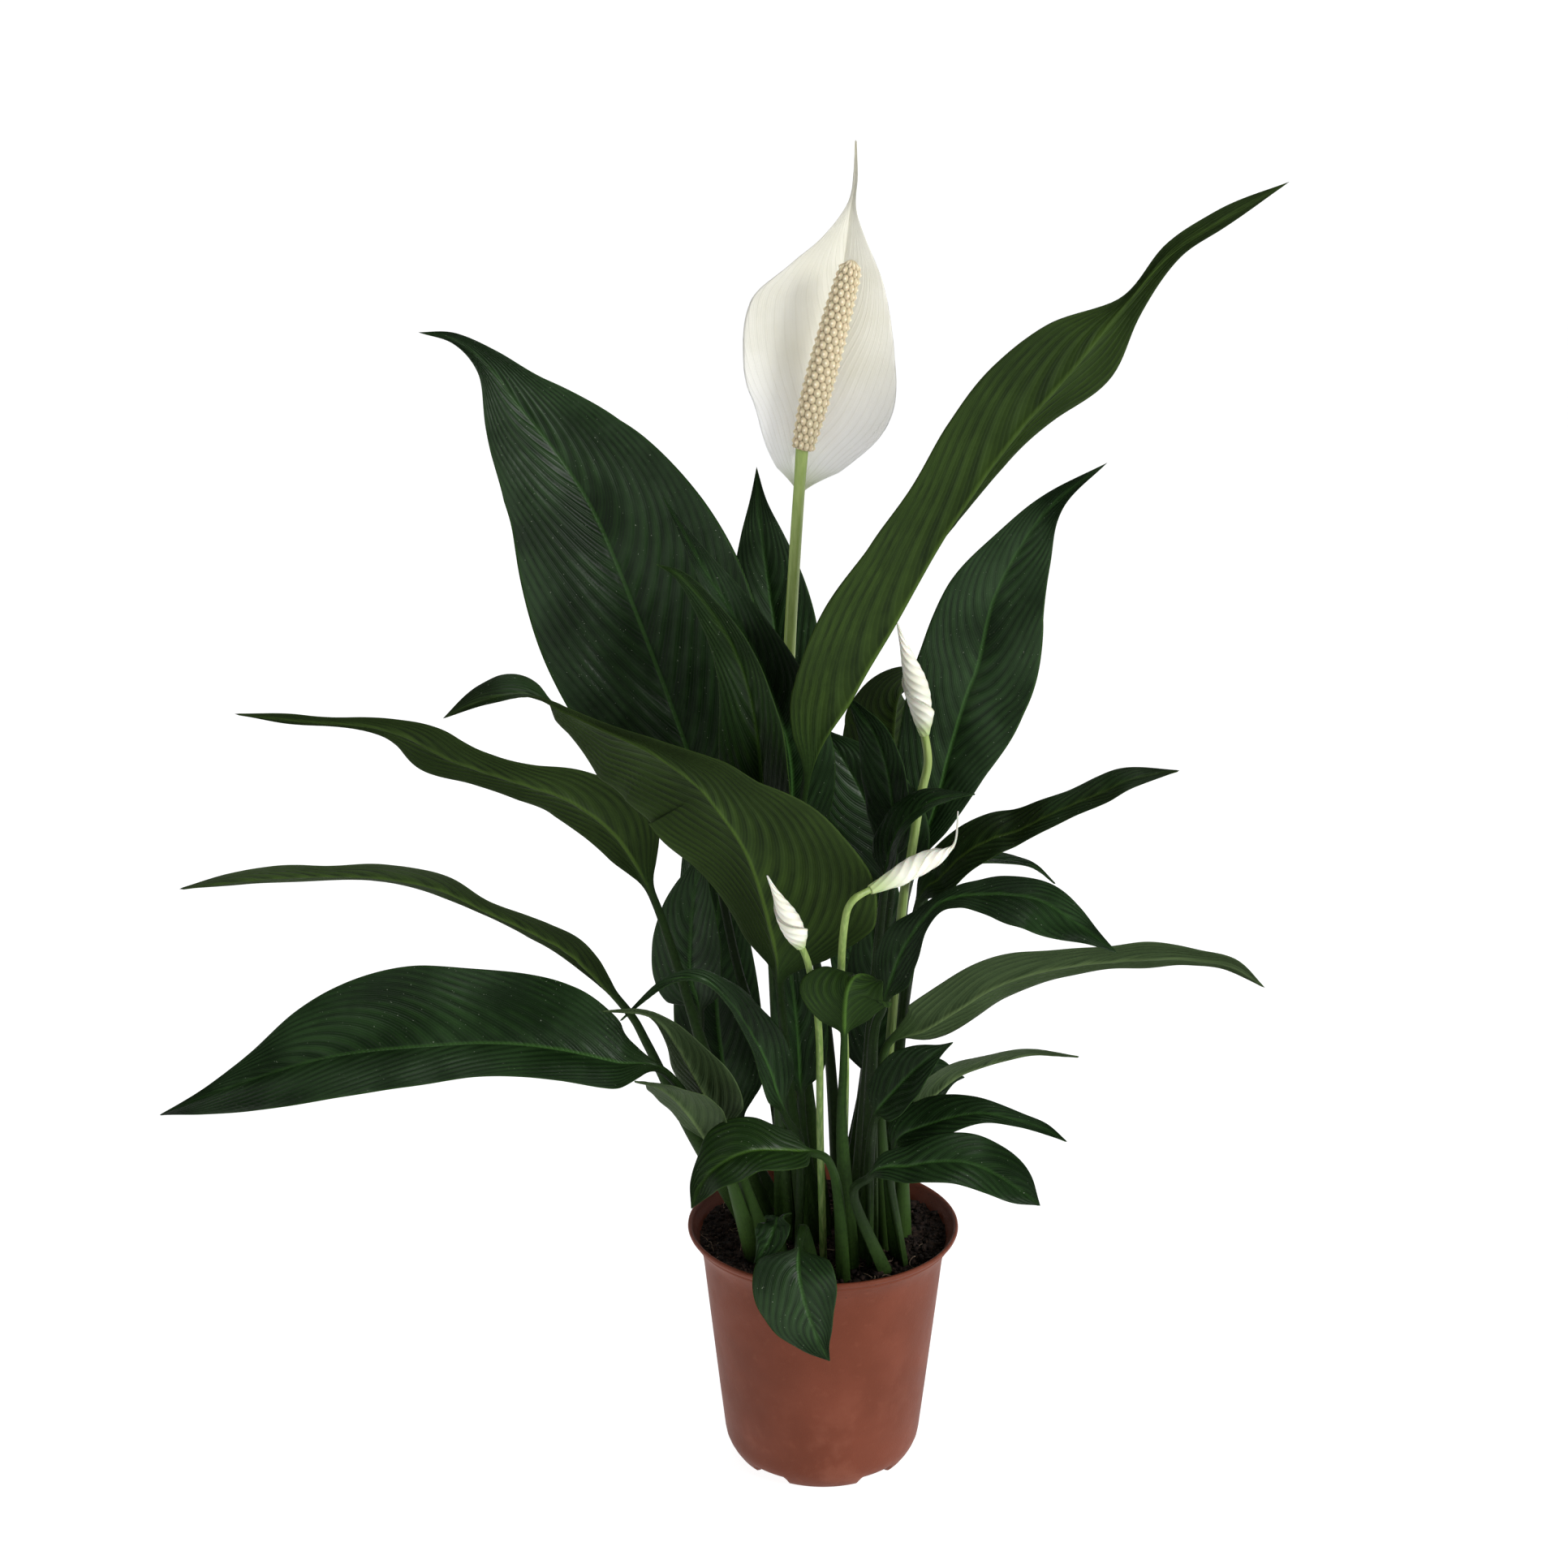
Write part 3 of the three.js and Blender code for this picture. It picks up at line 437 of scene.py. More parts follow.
LEAVES = {
    "tall_left": dict(
        path=[(-12, 12, 101), (-22, 16, 170), (-38, 24, 223), (-51, 36, 287), (-58, 39, 313),
        (-79, 43, 372), (-97, 45, 418), (-112, 45, 444), (-129, 43, 467), (-141, 40, 484),
        (-154, 36, 495), (-168, 30, 499)], blade_from=3, left=[15, 35, 42, 45, 42, 34, 23, 5,
        0], right=[15, 37, 47, 50, 46, 35, 21, 7, 0], fold=[10], facing=[(0.1, -1, 0.25)],
        tone="dark"),
    "broad_front": dict(
        path=[(-6, -14, 101), (-15, -24, 185), (-19, -42, 238), (-21, -50, 260),
        (-31, -60, 300), (-45, -66, 325), (-54, -66, 335), (-70, -64, 346), (-86, -61, 353),
        (-102, -58, 360), (-118, -56, 367), (-135, -56, 365), (-152, -58, 358)], blade_from=2,
        left=[22, 41, 45, 36, 21, 9, 4, 3, 3, 0], right=[8, 13, 19, 29, 34, 34, 33, 19, 10, 0],
        fold=[8], facing=[(0.2, 0.9, 0.3), (0.2, 0.9, 0.3), (0.2, 0.9, 0.3), (0.2, 0.9, 0.3),
        (0.2, 0.9, 0.35), (0.1, 0.9, 0.4), (0.1, 0.85, 0.45), (0.05, 0.6, 0.8),
        (-0.1, -0.6, 0.8), (-0.1, -0.9, 0.4)], tone="olive"),
    "far_left_high": dict(
        path=[(-22, -2, 101), (-48, -4, 181), (-63, -6, 234), (-72, -8, 264), (-81, -10, 284),
        (-91, -13, 299), (-107, -16, 312), (-124, -18, 319), (-140, -20, 325), (-156, -23, 332),
        (-172, -26, 342), (-188, -28, 347), (-213, -32, 350), (-239, -36, 354)], blade_from=3,
        left=[5, 13, 20, 16, 10, 9, 11, 6, 3, 3, 0], right=[3, 8, 12, 14, 12, 11, 13, 6, 3, 3,
        0], fold=[8], facing=[(-0.3, 0.75, 0.55)], tone="olive"),
    "far_left_low": dict(
        path=[(-30, 4, 101), (-59, 2, 155), (-76, -4, 196), (-85, -8, 215), (-106, -12, 241),
        (-122, -16, 253), (-142, -19, 264), (-162, -22, 275), (-185, -26, 281),
        (-207, -30, 283), (-233, -34, 283), (-266, -38, 280)], blade_from=3, left=[3, 6, 9, 9,
        7, 13, 13, 9, 12, 9, 0], right=[3, 5, 8, 9, 8, 14, 15, 13, 14, 10, 0], fold=[8],
        facing=[(-0.3, 0.5, 0.8)], tone="olive"),
    "big_low_left": dict(
        path=[(-26, -16, 101), (-45, -44, 165), (-65, -58, 206), (-86, -64, 214),
        (-108, -68, 221), (-131, -71, 225), (-157, -73, 225), (-199, -75, 221),
        (-236, -76, 210), (-271, -76, 196)], blade_from=2, left=[8, 19, 23, 26, 26, 29, 33, 32,
        25, 13, 0], right=[6, 16, 26, 31, 33, 34, 31, 23, 12, 4, 0], fold=[22],
        facing=[(-0.1, -0.5, 0.85)], tone="dark"),
    "upper_right": dict(
        path=[(2, 2, 101), (-10, -2, 210), (-9, -22, 317), (10, -30, 361), (26, -32, 390),
        (42, -34, 420), (56, -36, 443), (73, -36, 467), (93, -34, 490), (112, -30, 513),
        (132, -24, 535), (151, -20, 547), (179, -14, 562)], blade_from=2, left=[8, 16, 20, 20,
        17, 10, 8, 11, 17, 8, 4, 3, 0], right=[12, 22, 28, 30, 26, 22, 24, 25, 19, 3, 4, 4, 0],
        fold=[34, 34, 30, 14, 5, 5], facing=[(-0.8, 0.5, 0.3), (-0.8, 0.55, 0.3),
        (-0.75, 0.6, 0.3), (-0.3, 0.9, 0.3), (-0.2, 0.95, 0.2), (0.2, 0.95, 0.2),
        (0.3, 0.9, 0.2)], tone="olive"),
    "right_tall": dict(
        path=[(24, 6, 101), (29, 10, 155), (33, 18, 221), (37, 24, 262), (48, 28, 293),
        (54, 30, 318), (61, 32, 343), (66, 33, 357), (72, 34, 385), (84, 34, 410),
        (97, 32, 428), (118, 30, 445)], blade_from=3, left=[8, 18, 22, 25, 26, 21, 12, 5, 0],
        right=[2, 8, 17, 25, 26, 23, 15, 4, 0], fold=[10], facing=[(-0.05, -1, 0.25)],
        tone="dark"),
    "centre_back": dict(
        path=[(-4, 14, 101), (-13, 36, 214), (-17, 50, 323), (-20, 54, 359), (-25, 54, 395),
        (-28, 52, 420), (-29, 50, 440)], blade_from=2, width=38, fold=[15],
        facing=[(0, -1, 0.1)], tone="dark"),
    "centre_left_a": dict(
        path=[(-14, 3, 101), (-17, 6, 245), (-14, 0, 316), (-23, -6, 356), (-36, -10, 385),
        (-51, -14, 411), (-66, -20, 440)], blade_from=1, half=[4, 10, 16, 19, 17, 13, 9, 4, 0],
        fold=[20], facing=[(0.4, -0.8, 0.4)], tone="dark"),
    "centre_left_b": dict(
        path=[(-16, -6, 101), (-23, -16, 253), (-26, -32, 324), (-30, -38, 358),
        (-37, -42, 382), (-48, -48, 402), (-57, -54, 414), (-67, -62, 421)], blade_from=1,
        half=[4, 10, 16, 18, 16, 12, 8, 4, 0], fold=[20], facing=[(-0.4, -0.75, 0.4)],
        tone="bright"),
    "right_back_olive": dict(
        path=[(14, 20, 101), (27, 44, 231), (31, 54, 300), (31, 60, 321), (35, 66, 338),
        (49, 76, 341)], blade_from=2, width=46, fold=[10], facing=[(-0.2, 0.8, 0.6)],
        tone="olive"),
    "left_small_dark": dict(
        path=[(-22, 10, 101), (-53, 16, 166), (-54, 15, 203), (-58, 14, 221), (-58, 13, 238),
        (-56, 12, 261), (-51, 10, 284)], blade_from=2, width=34, fold=[15],
        facing=[(-0.3, -0.9, 0.2)], tone="dark"),
    "arching_inner": dict(
        path=[(-10, -22, 101), (-10, -34, 160), (-17, -41, 180), (-24, -47, 205),
        (-31, -51, 221), (-40, -55, 237), (-51, -59, 248), (-65, -63, 248), (-84, -66, 233)],
        blade_from=2, left=[5, 9, 10, 8, 6, 5, 4, 3, 0], right=[5, 12, 14, 14, 12, 8, 5, 3, 0],
        fold=[12], facing=[(0.3, -0.5, 0.8), (0.3, -0.5, 0.8), (0.2, -0.3, 0.9), (0, -0.05, 1),
        (0, 0, 1)], tone="dark"),
    "grey_left_a": dict(
        path=[(-22, -26, 101), (-35, -42, 152), (-41, -50, 178), (-46, -54, 189),
        (-53, -58, 204), (-60, -61, 219), (-67, -64, 231), (-75, -67, 237), (-91, -70, 239)],
        blade_from=2, left=[6, 13, 17, 17, 14, 9, 4, 2, 0], right=[6, 12, 15, 14, 10, 7, 4, 2,
        0], fold=[10], facing=[(0.4, 0.7, 0.6)], tone="grey"),
    "grey_left_b": dict(
        path=[(-30, -22, 101), (-40, -50, 156), (-47, -57, 174), (-58, -67, 195),
        (-67, -79, 209), (-77, -90, 217)], blade_from=2, width=32, fold=[10],
        facing=[(0.2, 0.5, 0.8)], tone="grey"),
    "centre_right_a": dict(
        path=[(10, -4, 101), (22, -5, 211), (29, -8, 282), (28, -6, 310), (23, -2, 331),
        (15, 2, 344), (6, 6, 353)], blade_from=2, width=26, fold=[15],
        facing=[(-0.6, -0.6, 0.3)], tone="dark"),
    "centre_right_b": dict(
        path=[(8, 6, 101), (21, 14, 188), (27, 20, 258), (21, 23, 291), (9, 25, 316),
        (-5, 27, 333)], blade_from=2, width=50, fold=[12], facing=[(-0.3, -0.8, 0.4)],
        tone="dark"),
    "thin_right": dict(
        path=[(14, -16, 101), (20, -20, 217), (25, -24, 279), (30, -26, 301), (41, -28, 313),
        (51, -30, 317), (61, -32, 319)], blade_from=2, width=24, fold=[15],
        facing=[(-0.3, -0.3, 0.9)], tone="dark"),
    "right_mid_upper": dict(
        path=[(26, -8, 101), (33, -8, 201), (39, -12, 262), (49, -14, 277), (59, -16, 288),
        (70, -18, 295), (80, -20, 299), (91, -23, 306), (102, -25, 312), (114, -27, 318),
        (125, -29, 324), (144, -32, 329)], blade_from=2, half=[6, 13, 15, 15, 11, 9, 10, 6, 0],
        fold=[10], facing=[(-0.1, -0.35, 0.9)], tone="olive"),
    "right_mid_droop": dict(
        path=[(20, -20, 101), (20, -34, 205), (24, -40, 229), (31, -46, 255), (43, -52, 276),
        (53, -54, 282), (63, -57, 284), (72, -60, 285), (85, -64, 284), (98, -68, 277),
        (116, -73, 265)], blade_from=2, left=[4, 8, 10, 10, 6, 4, 6, 8, 9, 9, 7, 3, 0],
        right=[4, 8, 10, 10, 6, 5, 8, 13, 18, 19, 14, 6, 0], fold=[12],
        facing=[(0, -0.55, 0.85)], tone="dark"),
    "right_arch_thin": dict(
        path=[(32, 2, 101), (33, 4, 189), (43, 2, 263), (52, 0, 274), (63, -3, 280),
        (77, -6, 281), (88, -10, 280), (97, -14, 274)], blade_from=2, width=24, fold=[10],
        facing=[(0, 0.12, 1)], tone="dark"),
    "right_long_low": dict(
        path=[(30, -14, 101), (24, -25, 171), (26, -28, 206), (42, -31, 216), (56, -33, 226),
        (70, -35, 236), (85, -38, 243), (107, -42, 249), (137, -47, 253), (152, -49, 253),
        (166, -51, 251), (180, -52, 242)], blade_from=2, left=[6, 15, 17, 17, 15, 11, 8, 9, 6,
        4, 0], right=[6, 14, 15, 16, 14, 10, 8, 9, 6, 4, 0], fold=[12],
        facing=[(-0.2, 0.85, 0.5)], tone="grey"),
    "right_pointed": dict(
        path=[(18, -28, 101), (19, -39, 159), (21, -48, 183), (28, -51, 195), (39, -55, 209),
        (52, -59, 221)], blade_from=2, width=26, fold=[12], facing=[(-0.3, -0.6, 0.7)],
        tone="dark"),
    "right_low_thin": dict(
        path=[(36, -4, 101), (35, -9, 148), (39, -13, 171), (47, -16, 180), (57, -18, 189),
        (67, -20, 194), (78, -22, 198), (90, -24, 201), (108, -27, 201)], blade_from=2,
        width=30, fold=[12], facing=[(-0.3, 0.5, 0.85)], tone="grey"),
    "right_low_back": dict(
        path=[(31, 14, 101), (32, 20, 139), (34, 23, 153), (42, 26, 164), (53, 28, 168),
        (64, 30, 167)], blade_from=2, width=32, fold=[12], facing=[(-0.2, -0.6, 0.7)],
        tone="dark"),
    "right_low_a": dict(
        path=[(34, -24, 101), (27, -41, 152), (29, -45, 165), (32, -46, 173), (42, -49, 179),
        (55, -53, 185), (66, -57, 188), (78, -61, 187), (89, -65, 185), (99, -69, 181)],
        blade_from=2, half=[5, 12, 13, 12, 9, 6, 4, 3, 0], fold=[12], facing=[(0, -0.4, 0.9)],
        tone="dark"),
    "right_low_b": dict(
        path=[(28, -34, 101), (12, -54, 148), (18, -61, 161), (24, -64, 167), (34, -67, 169),
        (42, -70, 172), (52, -73, 174), (60, -76, 174), (69, -79, 171), (78, -82, 166),
        (87, -85, 160)], blade_from=2, half=[4, 7, 10, 12, 13, 13, 12, 8, 0], fold=[12],
        facing=[(0, -0.5, 0.85)], tone="dark"),
    "front_left_low": dict(
        path=[(8, -38, 101), (6, -50, 145), (2, -60, 167), (-5, -65, 174), (-19, -73, 179),
        (-32, -79, 181), (-44, -84, 177), (-51, -85, 169), (-55, -88, 160)], blade_from=3,
        left=[5, 10, 13, 14, 14, 14, 10, 6, 0], right=[5, 9, 12, 15, 17, 15, 9, 4, 0],
        fold=[12], facing=[(0, -0.45, 0.9)], tone="bright"),
    "front_hanging": dict(
        path=[(-6, -38, 101), (-9, -50, 132), (-11, -62, 130), (-11, -70, 121), (-8, -74, 108),
        (-3, -76, 94), (2, -76, 84)], blade_from=2, left=[7, 13, 15, 15, 13, 10, 7, 3, 0],
        right=[9, 17, 20, 20, 18, 15, 10, 5, 0], fold=[10], facing=[(0, -1, 0.3)], tone="dark"),
    "front_small": dict(
        path=[(-18, -36, 101), (-19, -46, 134), (-21, -52, 134), (-24, -58, 129),
        (-30, -62, 122)], blade_from=1, width=16, fold=[10], facing=[(0, 0.8, 0.3), (0, 0.3, 1),
        (0, -0.5, 0.9), (0, -1, 0.4)], tone="dark"),
    "front_cup": dict(
        path=[(12, -32, 101), (7, -50, 175), (7, -66, 215), (7, -72, 229), (7, -76, 242),
        (8, -75, 250), (11, -69, 253), (16, -59, 250), (22, -48, 243)], blade_from=3, left=[3,
        10, 16, 19, 17, 12, 8, 4, 0], right=[3, 10, 16, 19, 14, 7, 4, 2, 0], fold=[10],
        facing=[(0, 0.95, 0.2), (0, 0.9, 0.1), (0, 0.6, -0.5), (0.1, 0.2, -0.95),
        (0.2, 0.1, -0.9)], tone="bright"),
    "dark_back_left": dict(
        path=[(-18, 18, 101), (-31, 30, 128), (-36, 33, 140), (-43, 37, 161), (-47, 40, 189),
        (-48, 43, 219), (-46, 46, 249), (-44, 50, 282)], blade_from=2, width=40, fold=[8],
        facing=[(0.1, -1, 0.1)], tone="dark"),
    "mid_back_right": dict(
        path=[(14, 10, 101), (18, 20, 143), (20, 25, 168), (23, 30, 197), (22, 33, 231),
        (20, 34, 257)], blade_from=2, width=30, fold=[12], facing=[(0, -1, 0.1)], tone="dark"),
    "centre_narrow": dict(
        path=[(0, -9, 101), (-8, -12, 150), (-10, -14, 177), (-11, -14, 200), (-13, -14, 222),
        (-18, -14, 259)], blade_from=2, width=26, fold=[15], facing=[(0.3, -0.9, 0.1)],
        tone="dark"),
    "back_left": dict(
        path=[(-12, 28, 101), (-20, 48, 152), (-40, 66, 203), (-53, 70, 264), (-75, 95, 322),
        (-96, 115, 361), (-116, 125, 399), (-129, 128, 421)], blade_from=3, width=56, fold=[10],
        facing=[(0.3, 0.9, 0.3)], tone="dark"),
    "back_right": dict(
        path=[(20, 24, 101), (30, 54, 200), (46, 75, 270), (62, 100, 309), (76, 118, 343),
        (87, 126, 370)], blade_from=2, width=50, fold=[10], facing=[(-0.3, 0.9, 0.3)],
        tone="dark"),
    "back_centre": dict(
        path=[(8, 29, 101), (0, 50, 201), (-23, 90, 273), (-42, 120, 320), (-62, 145, 353),
        (-81, 160, 377)], blade_from=2, width=50, fold=[10], facing=[(0.1, 0.6, 0.8)],
        tone="dark"),
    "back_low_left": dict(
        path=[(-30, 22, 101), (-40, 42, 145), (-44, 70, 177), (-54, 100, 206), (-62, 125, 234),
        (-68, 140, 254)], blade_from=2, width=34, fold=[10], facing=[(0, 0.5, 0.9)],
        tone="dark"),
    "back_low_right": dict(
        path=[(30, 26, 101), (21, 46, 143), (21, 80, 177), (23, 110, 211), (26, 135, 235),
        (32, 150, 251)], blade_from=2, width=36, fold=[10], facing=[(0, 0.5, 0.9)],
        tone="dark"),
}

# Half-widths of a plain blade from its base to its tip, as shares of the widest.
PLAIN_BLADE = np.array([0.35, 0.76, 0.95, 1, 0.93, 0.76, 0.5, 0.2, 0])
STALK_ROWS = 26
STALK_FOOT = 2.7
STALK_NECK = 1.75
STALK_SINKS = 9
SHEATH = 0.8
SHEATH_SHARE = 0.55
BLADE_THICK = 0.55
MIDRIB_BLEND = 0.13
BIG_BLADE = 30


def smooth_values(values, at):
    """Numbers at shares `at`, read off the smooth curve through evenly spaced values."""
    values = np.atleast_1d(np.asarray(values, float))
    if len(values) == 1:
        return np.full(len(at), values[0])
    return smooth_path(values[:, None], at)[:, 0]


def eased(x):
    """0 below 0, 1 above 1, and smooth between."""
    x = np.clip(x, 0, 1)
    return x * x * (3 - 2 * x)


def leaf_rows(leaf, blade_rows):
    """The leaf's centre line and its section planes, row by row.

    Stalk rows share the stalk out evenly and blade rows the blade, by length. On the blade,
    across is the tangent crossed with the facing; on the stalk it is the one nearest the
    blade's first. Returns centre, across, up, the stalk's share and the blade's share.
    """
    path = np.array(leaf["path"], float)
    start = leaf["blade_from"] / (len(path) - 1)
    fine = np.linspace(start, 1, 600)
    run = np.linalg.norm(np.diff(smooth_path(path, fine), axis=0), axis=1)
    run = np.concatenate([[0], np.cumsum(run)])
    on_blade = np.linspace(0, 1, blade_rows, endpoint=False)
    blade_at = np.interp(on_blade * run[-1], run, fine)
    on_stalk = np.linspace(0, 1, STALK_ROWS, endpoint=False) if start else np.zeros(0)
    at = np.concatenate([start * on_stalk, blade_at])
    centre = smooth_path(path, at)
    ahead, behind = np.minimum(at + 1e-3, 1), np.maximum(at - 1e-3, 0)
    tangent = smooth_path(path, ahead) - smooth_path(path, behind)
    tangent /= np.linalg.norm(tangent, axis=1)[:, None]
    facing = np.array(leaf["facing"], float)
    facing /= np.linalg.norm(facing, axis=1)[:, None]
    steps = np.linspace(0, 1, len(facing)) if len(facing) > 1 else np.array([0.0])
    looks = np.stack([np.interp(on_blade, steps, facing[:, axis]) for axis in range(3)], 1)
    rows = len(on_stalk)
    across = np.cross(tangent[rows:], looks)
    across /= np.linalg.norm(across, axis=1)[:, None]
    stalk_up = np.cross(across[:1], tangent[:rows])
    stalk_up /= np.maximum(np.linalg.norm(stalk_up, axis=1), 1e-9)[:, None]
    across = np.vstack([np.cross(tangent[:rows], stalk_up), across])
    up = np.cross(across, tangent)
    if rows:
        centre = np.vstack([centre[:1] - STALK_SINKS * tangent[:1], centre])
        across, up = np.vstack([across[:1], across]), np.vstack([up[:1], up])
        on_stalk = np.concatenate([[0], on_stalk])
    stalk_share = np.concatenate([on_stalk, np.ones(blade_rows)])
    blade_share = np.concatenate([np.zeros(len(on_stalk)), on_blade])
    return centre, across, up, stalk_share, blade_share, run[-1]


def leaf_surface(name, leaf, seed):
    """A leaf's closed skin, as (points, faces, point attributes).

    A ring goes over the upper face from the left margin to the right and back underneath. Its
    point at `side` (-1 to 1) lies at the blade's half-width times side, lifted by the fold and
    by a slow margin wave. Side veins are the lines on which vein = (along - reach * bow) *
    count is whole, where bow = 0.45 side + 0.55 side squared; the surface sinks there by
    relief. The stalk's round section, with a channel above, blends into the blade's.
    """
    draw = np.random.default_rng(seed)
    half = leaf.get("half", leaf.get("width", 0) / 2 * PLAIN_BLADE)
    left, right = leaf.get("left", half), leaf.get("right", half)
    widest = max(*left, *right)
    big = widest > BIG_BLADE
    columns = 97 if big else 61
    centre, across, up, stalk, blade, length = leaf_rows(leaf, 230 if big else 110)
    on = blade[:, None]
    shoulder = np.sqrt(np.clip(blade / 0.07, 0, 1))
    left_half = (np.maximum(smooth_values(left, blade), 0) * shoulder)[:, None]
    right_half = (np.maximum(smooth_values(right, blade), 0) * shoulder)[:, None]
    line = np.linspace(-1, 1, columns)
    line = 0.8 * line + 0.2 * line ** 3
    side = np.concatenate([line, line[-2:0:-1]])[None, :]
    over = np.concatenate([np.ones(columns), -np.ones(columns - 2)])[None, :]
    bare = np.abs(side)
    half_here = np.where(side < 0, left_half, right_half)
    fold = np.radians(smooth_values(leaf["fold"], blade))[:, None]

    reach = min(0.6, 2.3 * widest / length) * leaf.get("sweep", 1)
    count = leaf.get("veins", 1) * widest / (reach * (2.8 + 0.05 * widest))
    uneven = 0.22 * np.sin(2 * np.pi * (2.3 * on + draw.uniform()) + side * 2)
    vein = (on - reach * (0.45 * bare + 0.55 * bare ** 2)) * count + uneven
    valley = (1 - np.abs((vein % 1) - 0.5) * 2)
    quilt = 0.6 * np.cos(2 * np.pi * vein) + 0.4 * (1 - 2 * (1 - valley) ** 4)
    quilt = (quilt * eased((1 - bare) / 0.22) * eased(bare / 0.08)
             * eased(on / 0.08) * eased((1 - on) / 0.15))
    relief = leaf.get("relief", 1) * min(0.7, 0.16 + 0.014 * widest)

    waves = draw.uniform(0.7, 1.3, 4)
    turn = draw.uniform(0, 2 * np.pi, 4)
    ripple = (np.sin(2 * np.pi * 2.1 * waves[0] * on + turn[0] + side)
              + 0.5 * np.sin(2 * np.pi * 4.7 * waves[1] * on + turn[1] - 2 * side))
    ripple *= (leaf.get("wave", 1) * 0.035 * half_here * bare ** 2.2
               * eased(on / 0.15) * eased((1 - on) / 0.1))
    arch = 0.07 * half_here * np.sin(np.pi * bare ** 0.8)
    x = side * half_here
    lift = bare * half_here * np.sin(fold) + ripple + arch - relief * quilt
    rim = np.sqrt(np.clip(1 - bare ** 10, 0, 1))
    keel = (1.9 * (1 - on) ** 1.6 + 0.25) * np.exp(-(x / (0.7 + 0.9 * (1 - on))) ** 2)
    groove = 0.45 * (1 - on) * np.exp(-(x / 0.9) ** 2)
    skin = np.where(over > 0, BLADE_THICK / 2 * rim - groove, -BLADE_THICK / 2 * rim - keel)
    blade_x, blade_up = x * np.cos(fold), lift + skin

    radius = leaf.get("stalk", 1) * (STALK_FOOT + (STALK_NECK - STALK_FOOT) * eased(stalk))[:, None]
    sheath = SHEATH * eased(1 - stalk / SHEATH_SHARE)[:, None]
    lean = side * np.pi / 2
    channel = 1 - (0.3 + sheath * 0.5) * np.exp(-(side / 0.42) ** 2)
    stalk_x = radius * (1 + sheath) * np.sin(lean)
    stalk_up = over * radius * np.cos(lean) * np.where(over > 0, channel, 1)
    stalk_up = stalk_up + sheath * radius * side ** 2

    share = np.ones((len(blade), 1))
    if leaf["blade_from"]:
        share = eased(blade / MIDRIB_BLEND)[:, None]
    out = stalk_x * (1 - share) + blade_x * share
    rise = stalk_up * (1 - share) + blade_up * share
    points = centre[:, None] + across[:, None] * out[..., None] + up[:, None] * rise[..., None]
    points, faces = capped_skin(points, centre[0], leaf["path"][-1])
    values = {"vein": vein, "upper": (over + 1) / 2 * (bare < 0.999), "blade": share,
              "rib": np.abs(x), "margin": bare, "along": on, "rise": stalk[:, None]}
    for key, value in values.items():
        values[key] = np.concatenate([np.broadcast_to(value, out.shape).ravel(), [0, 0]])
    return points, faces, values


# A leaf's colours: its upper face, a deeper green for mottling and the painted shade in the vein
# valleys, underside, midrib above and below, and stalk.
LEAF_TONES = {
    "dark": dict(upper=colour(33, 55, 27), deep=colour(14, 29, 11), under=colour(38, 57, 23),
                 rib=colour(60, 98, 42), stalk=colour(32, 52, 19)),
    "olive": dict(upper=colour(30, 51, 24), deep=colour(14, 26, 7), under=colour(40, 58, 19),
                  rib=colour(70, 94, 34), stalk=colour(36, 58, 21)),
    # The grey tone's pale underside and midrib are partly the underside's own paler green and partly
    # a painted sheen of greyish gloss.
    "grey": dict(upper=colour(30, 51, 26), deep=colour(38, 54, 29), under=colour(58, 75, 45),
                 rib=colour(98, 118, 72), stalk=colour(48, 72, 29)),
    "bright": dict(upper=colour(26, 48, 17), deep=colour(19, 36, 12), under=colour(32, 52, 15),
                   rib=colour(74, 108, 38), stalk=colour(42, 68, 24)),
}


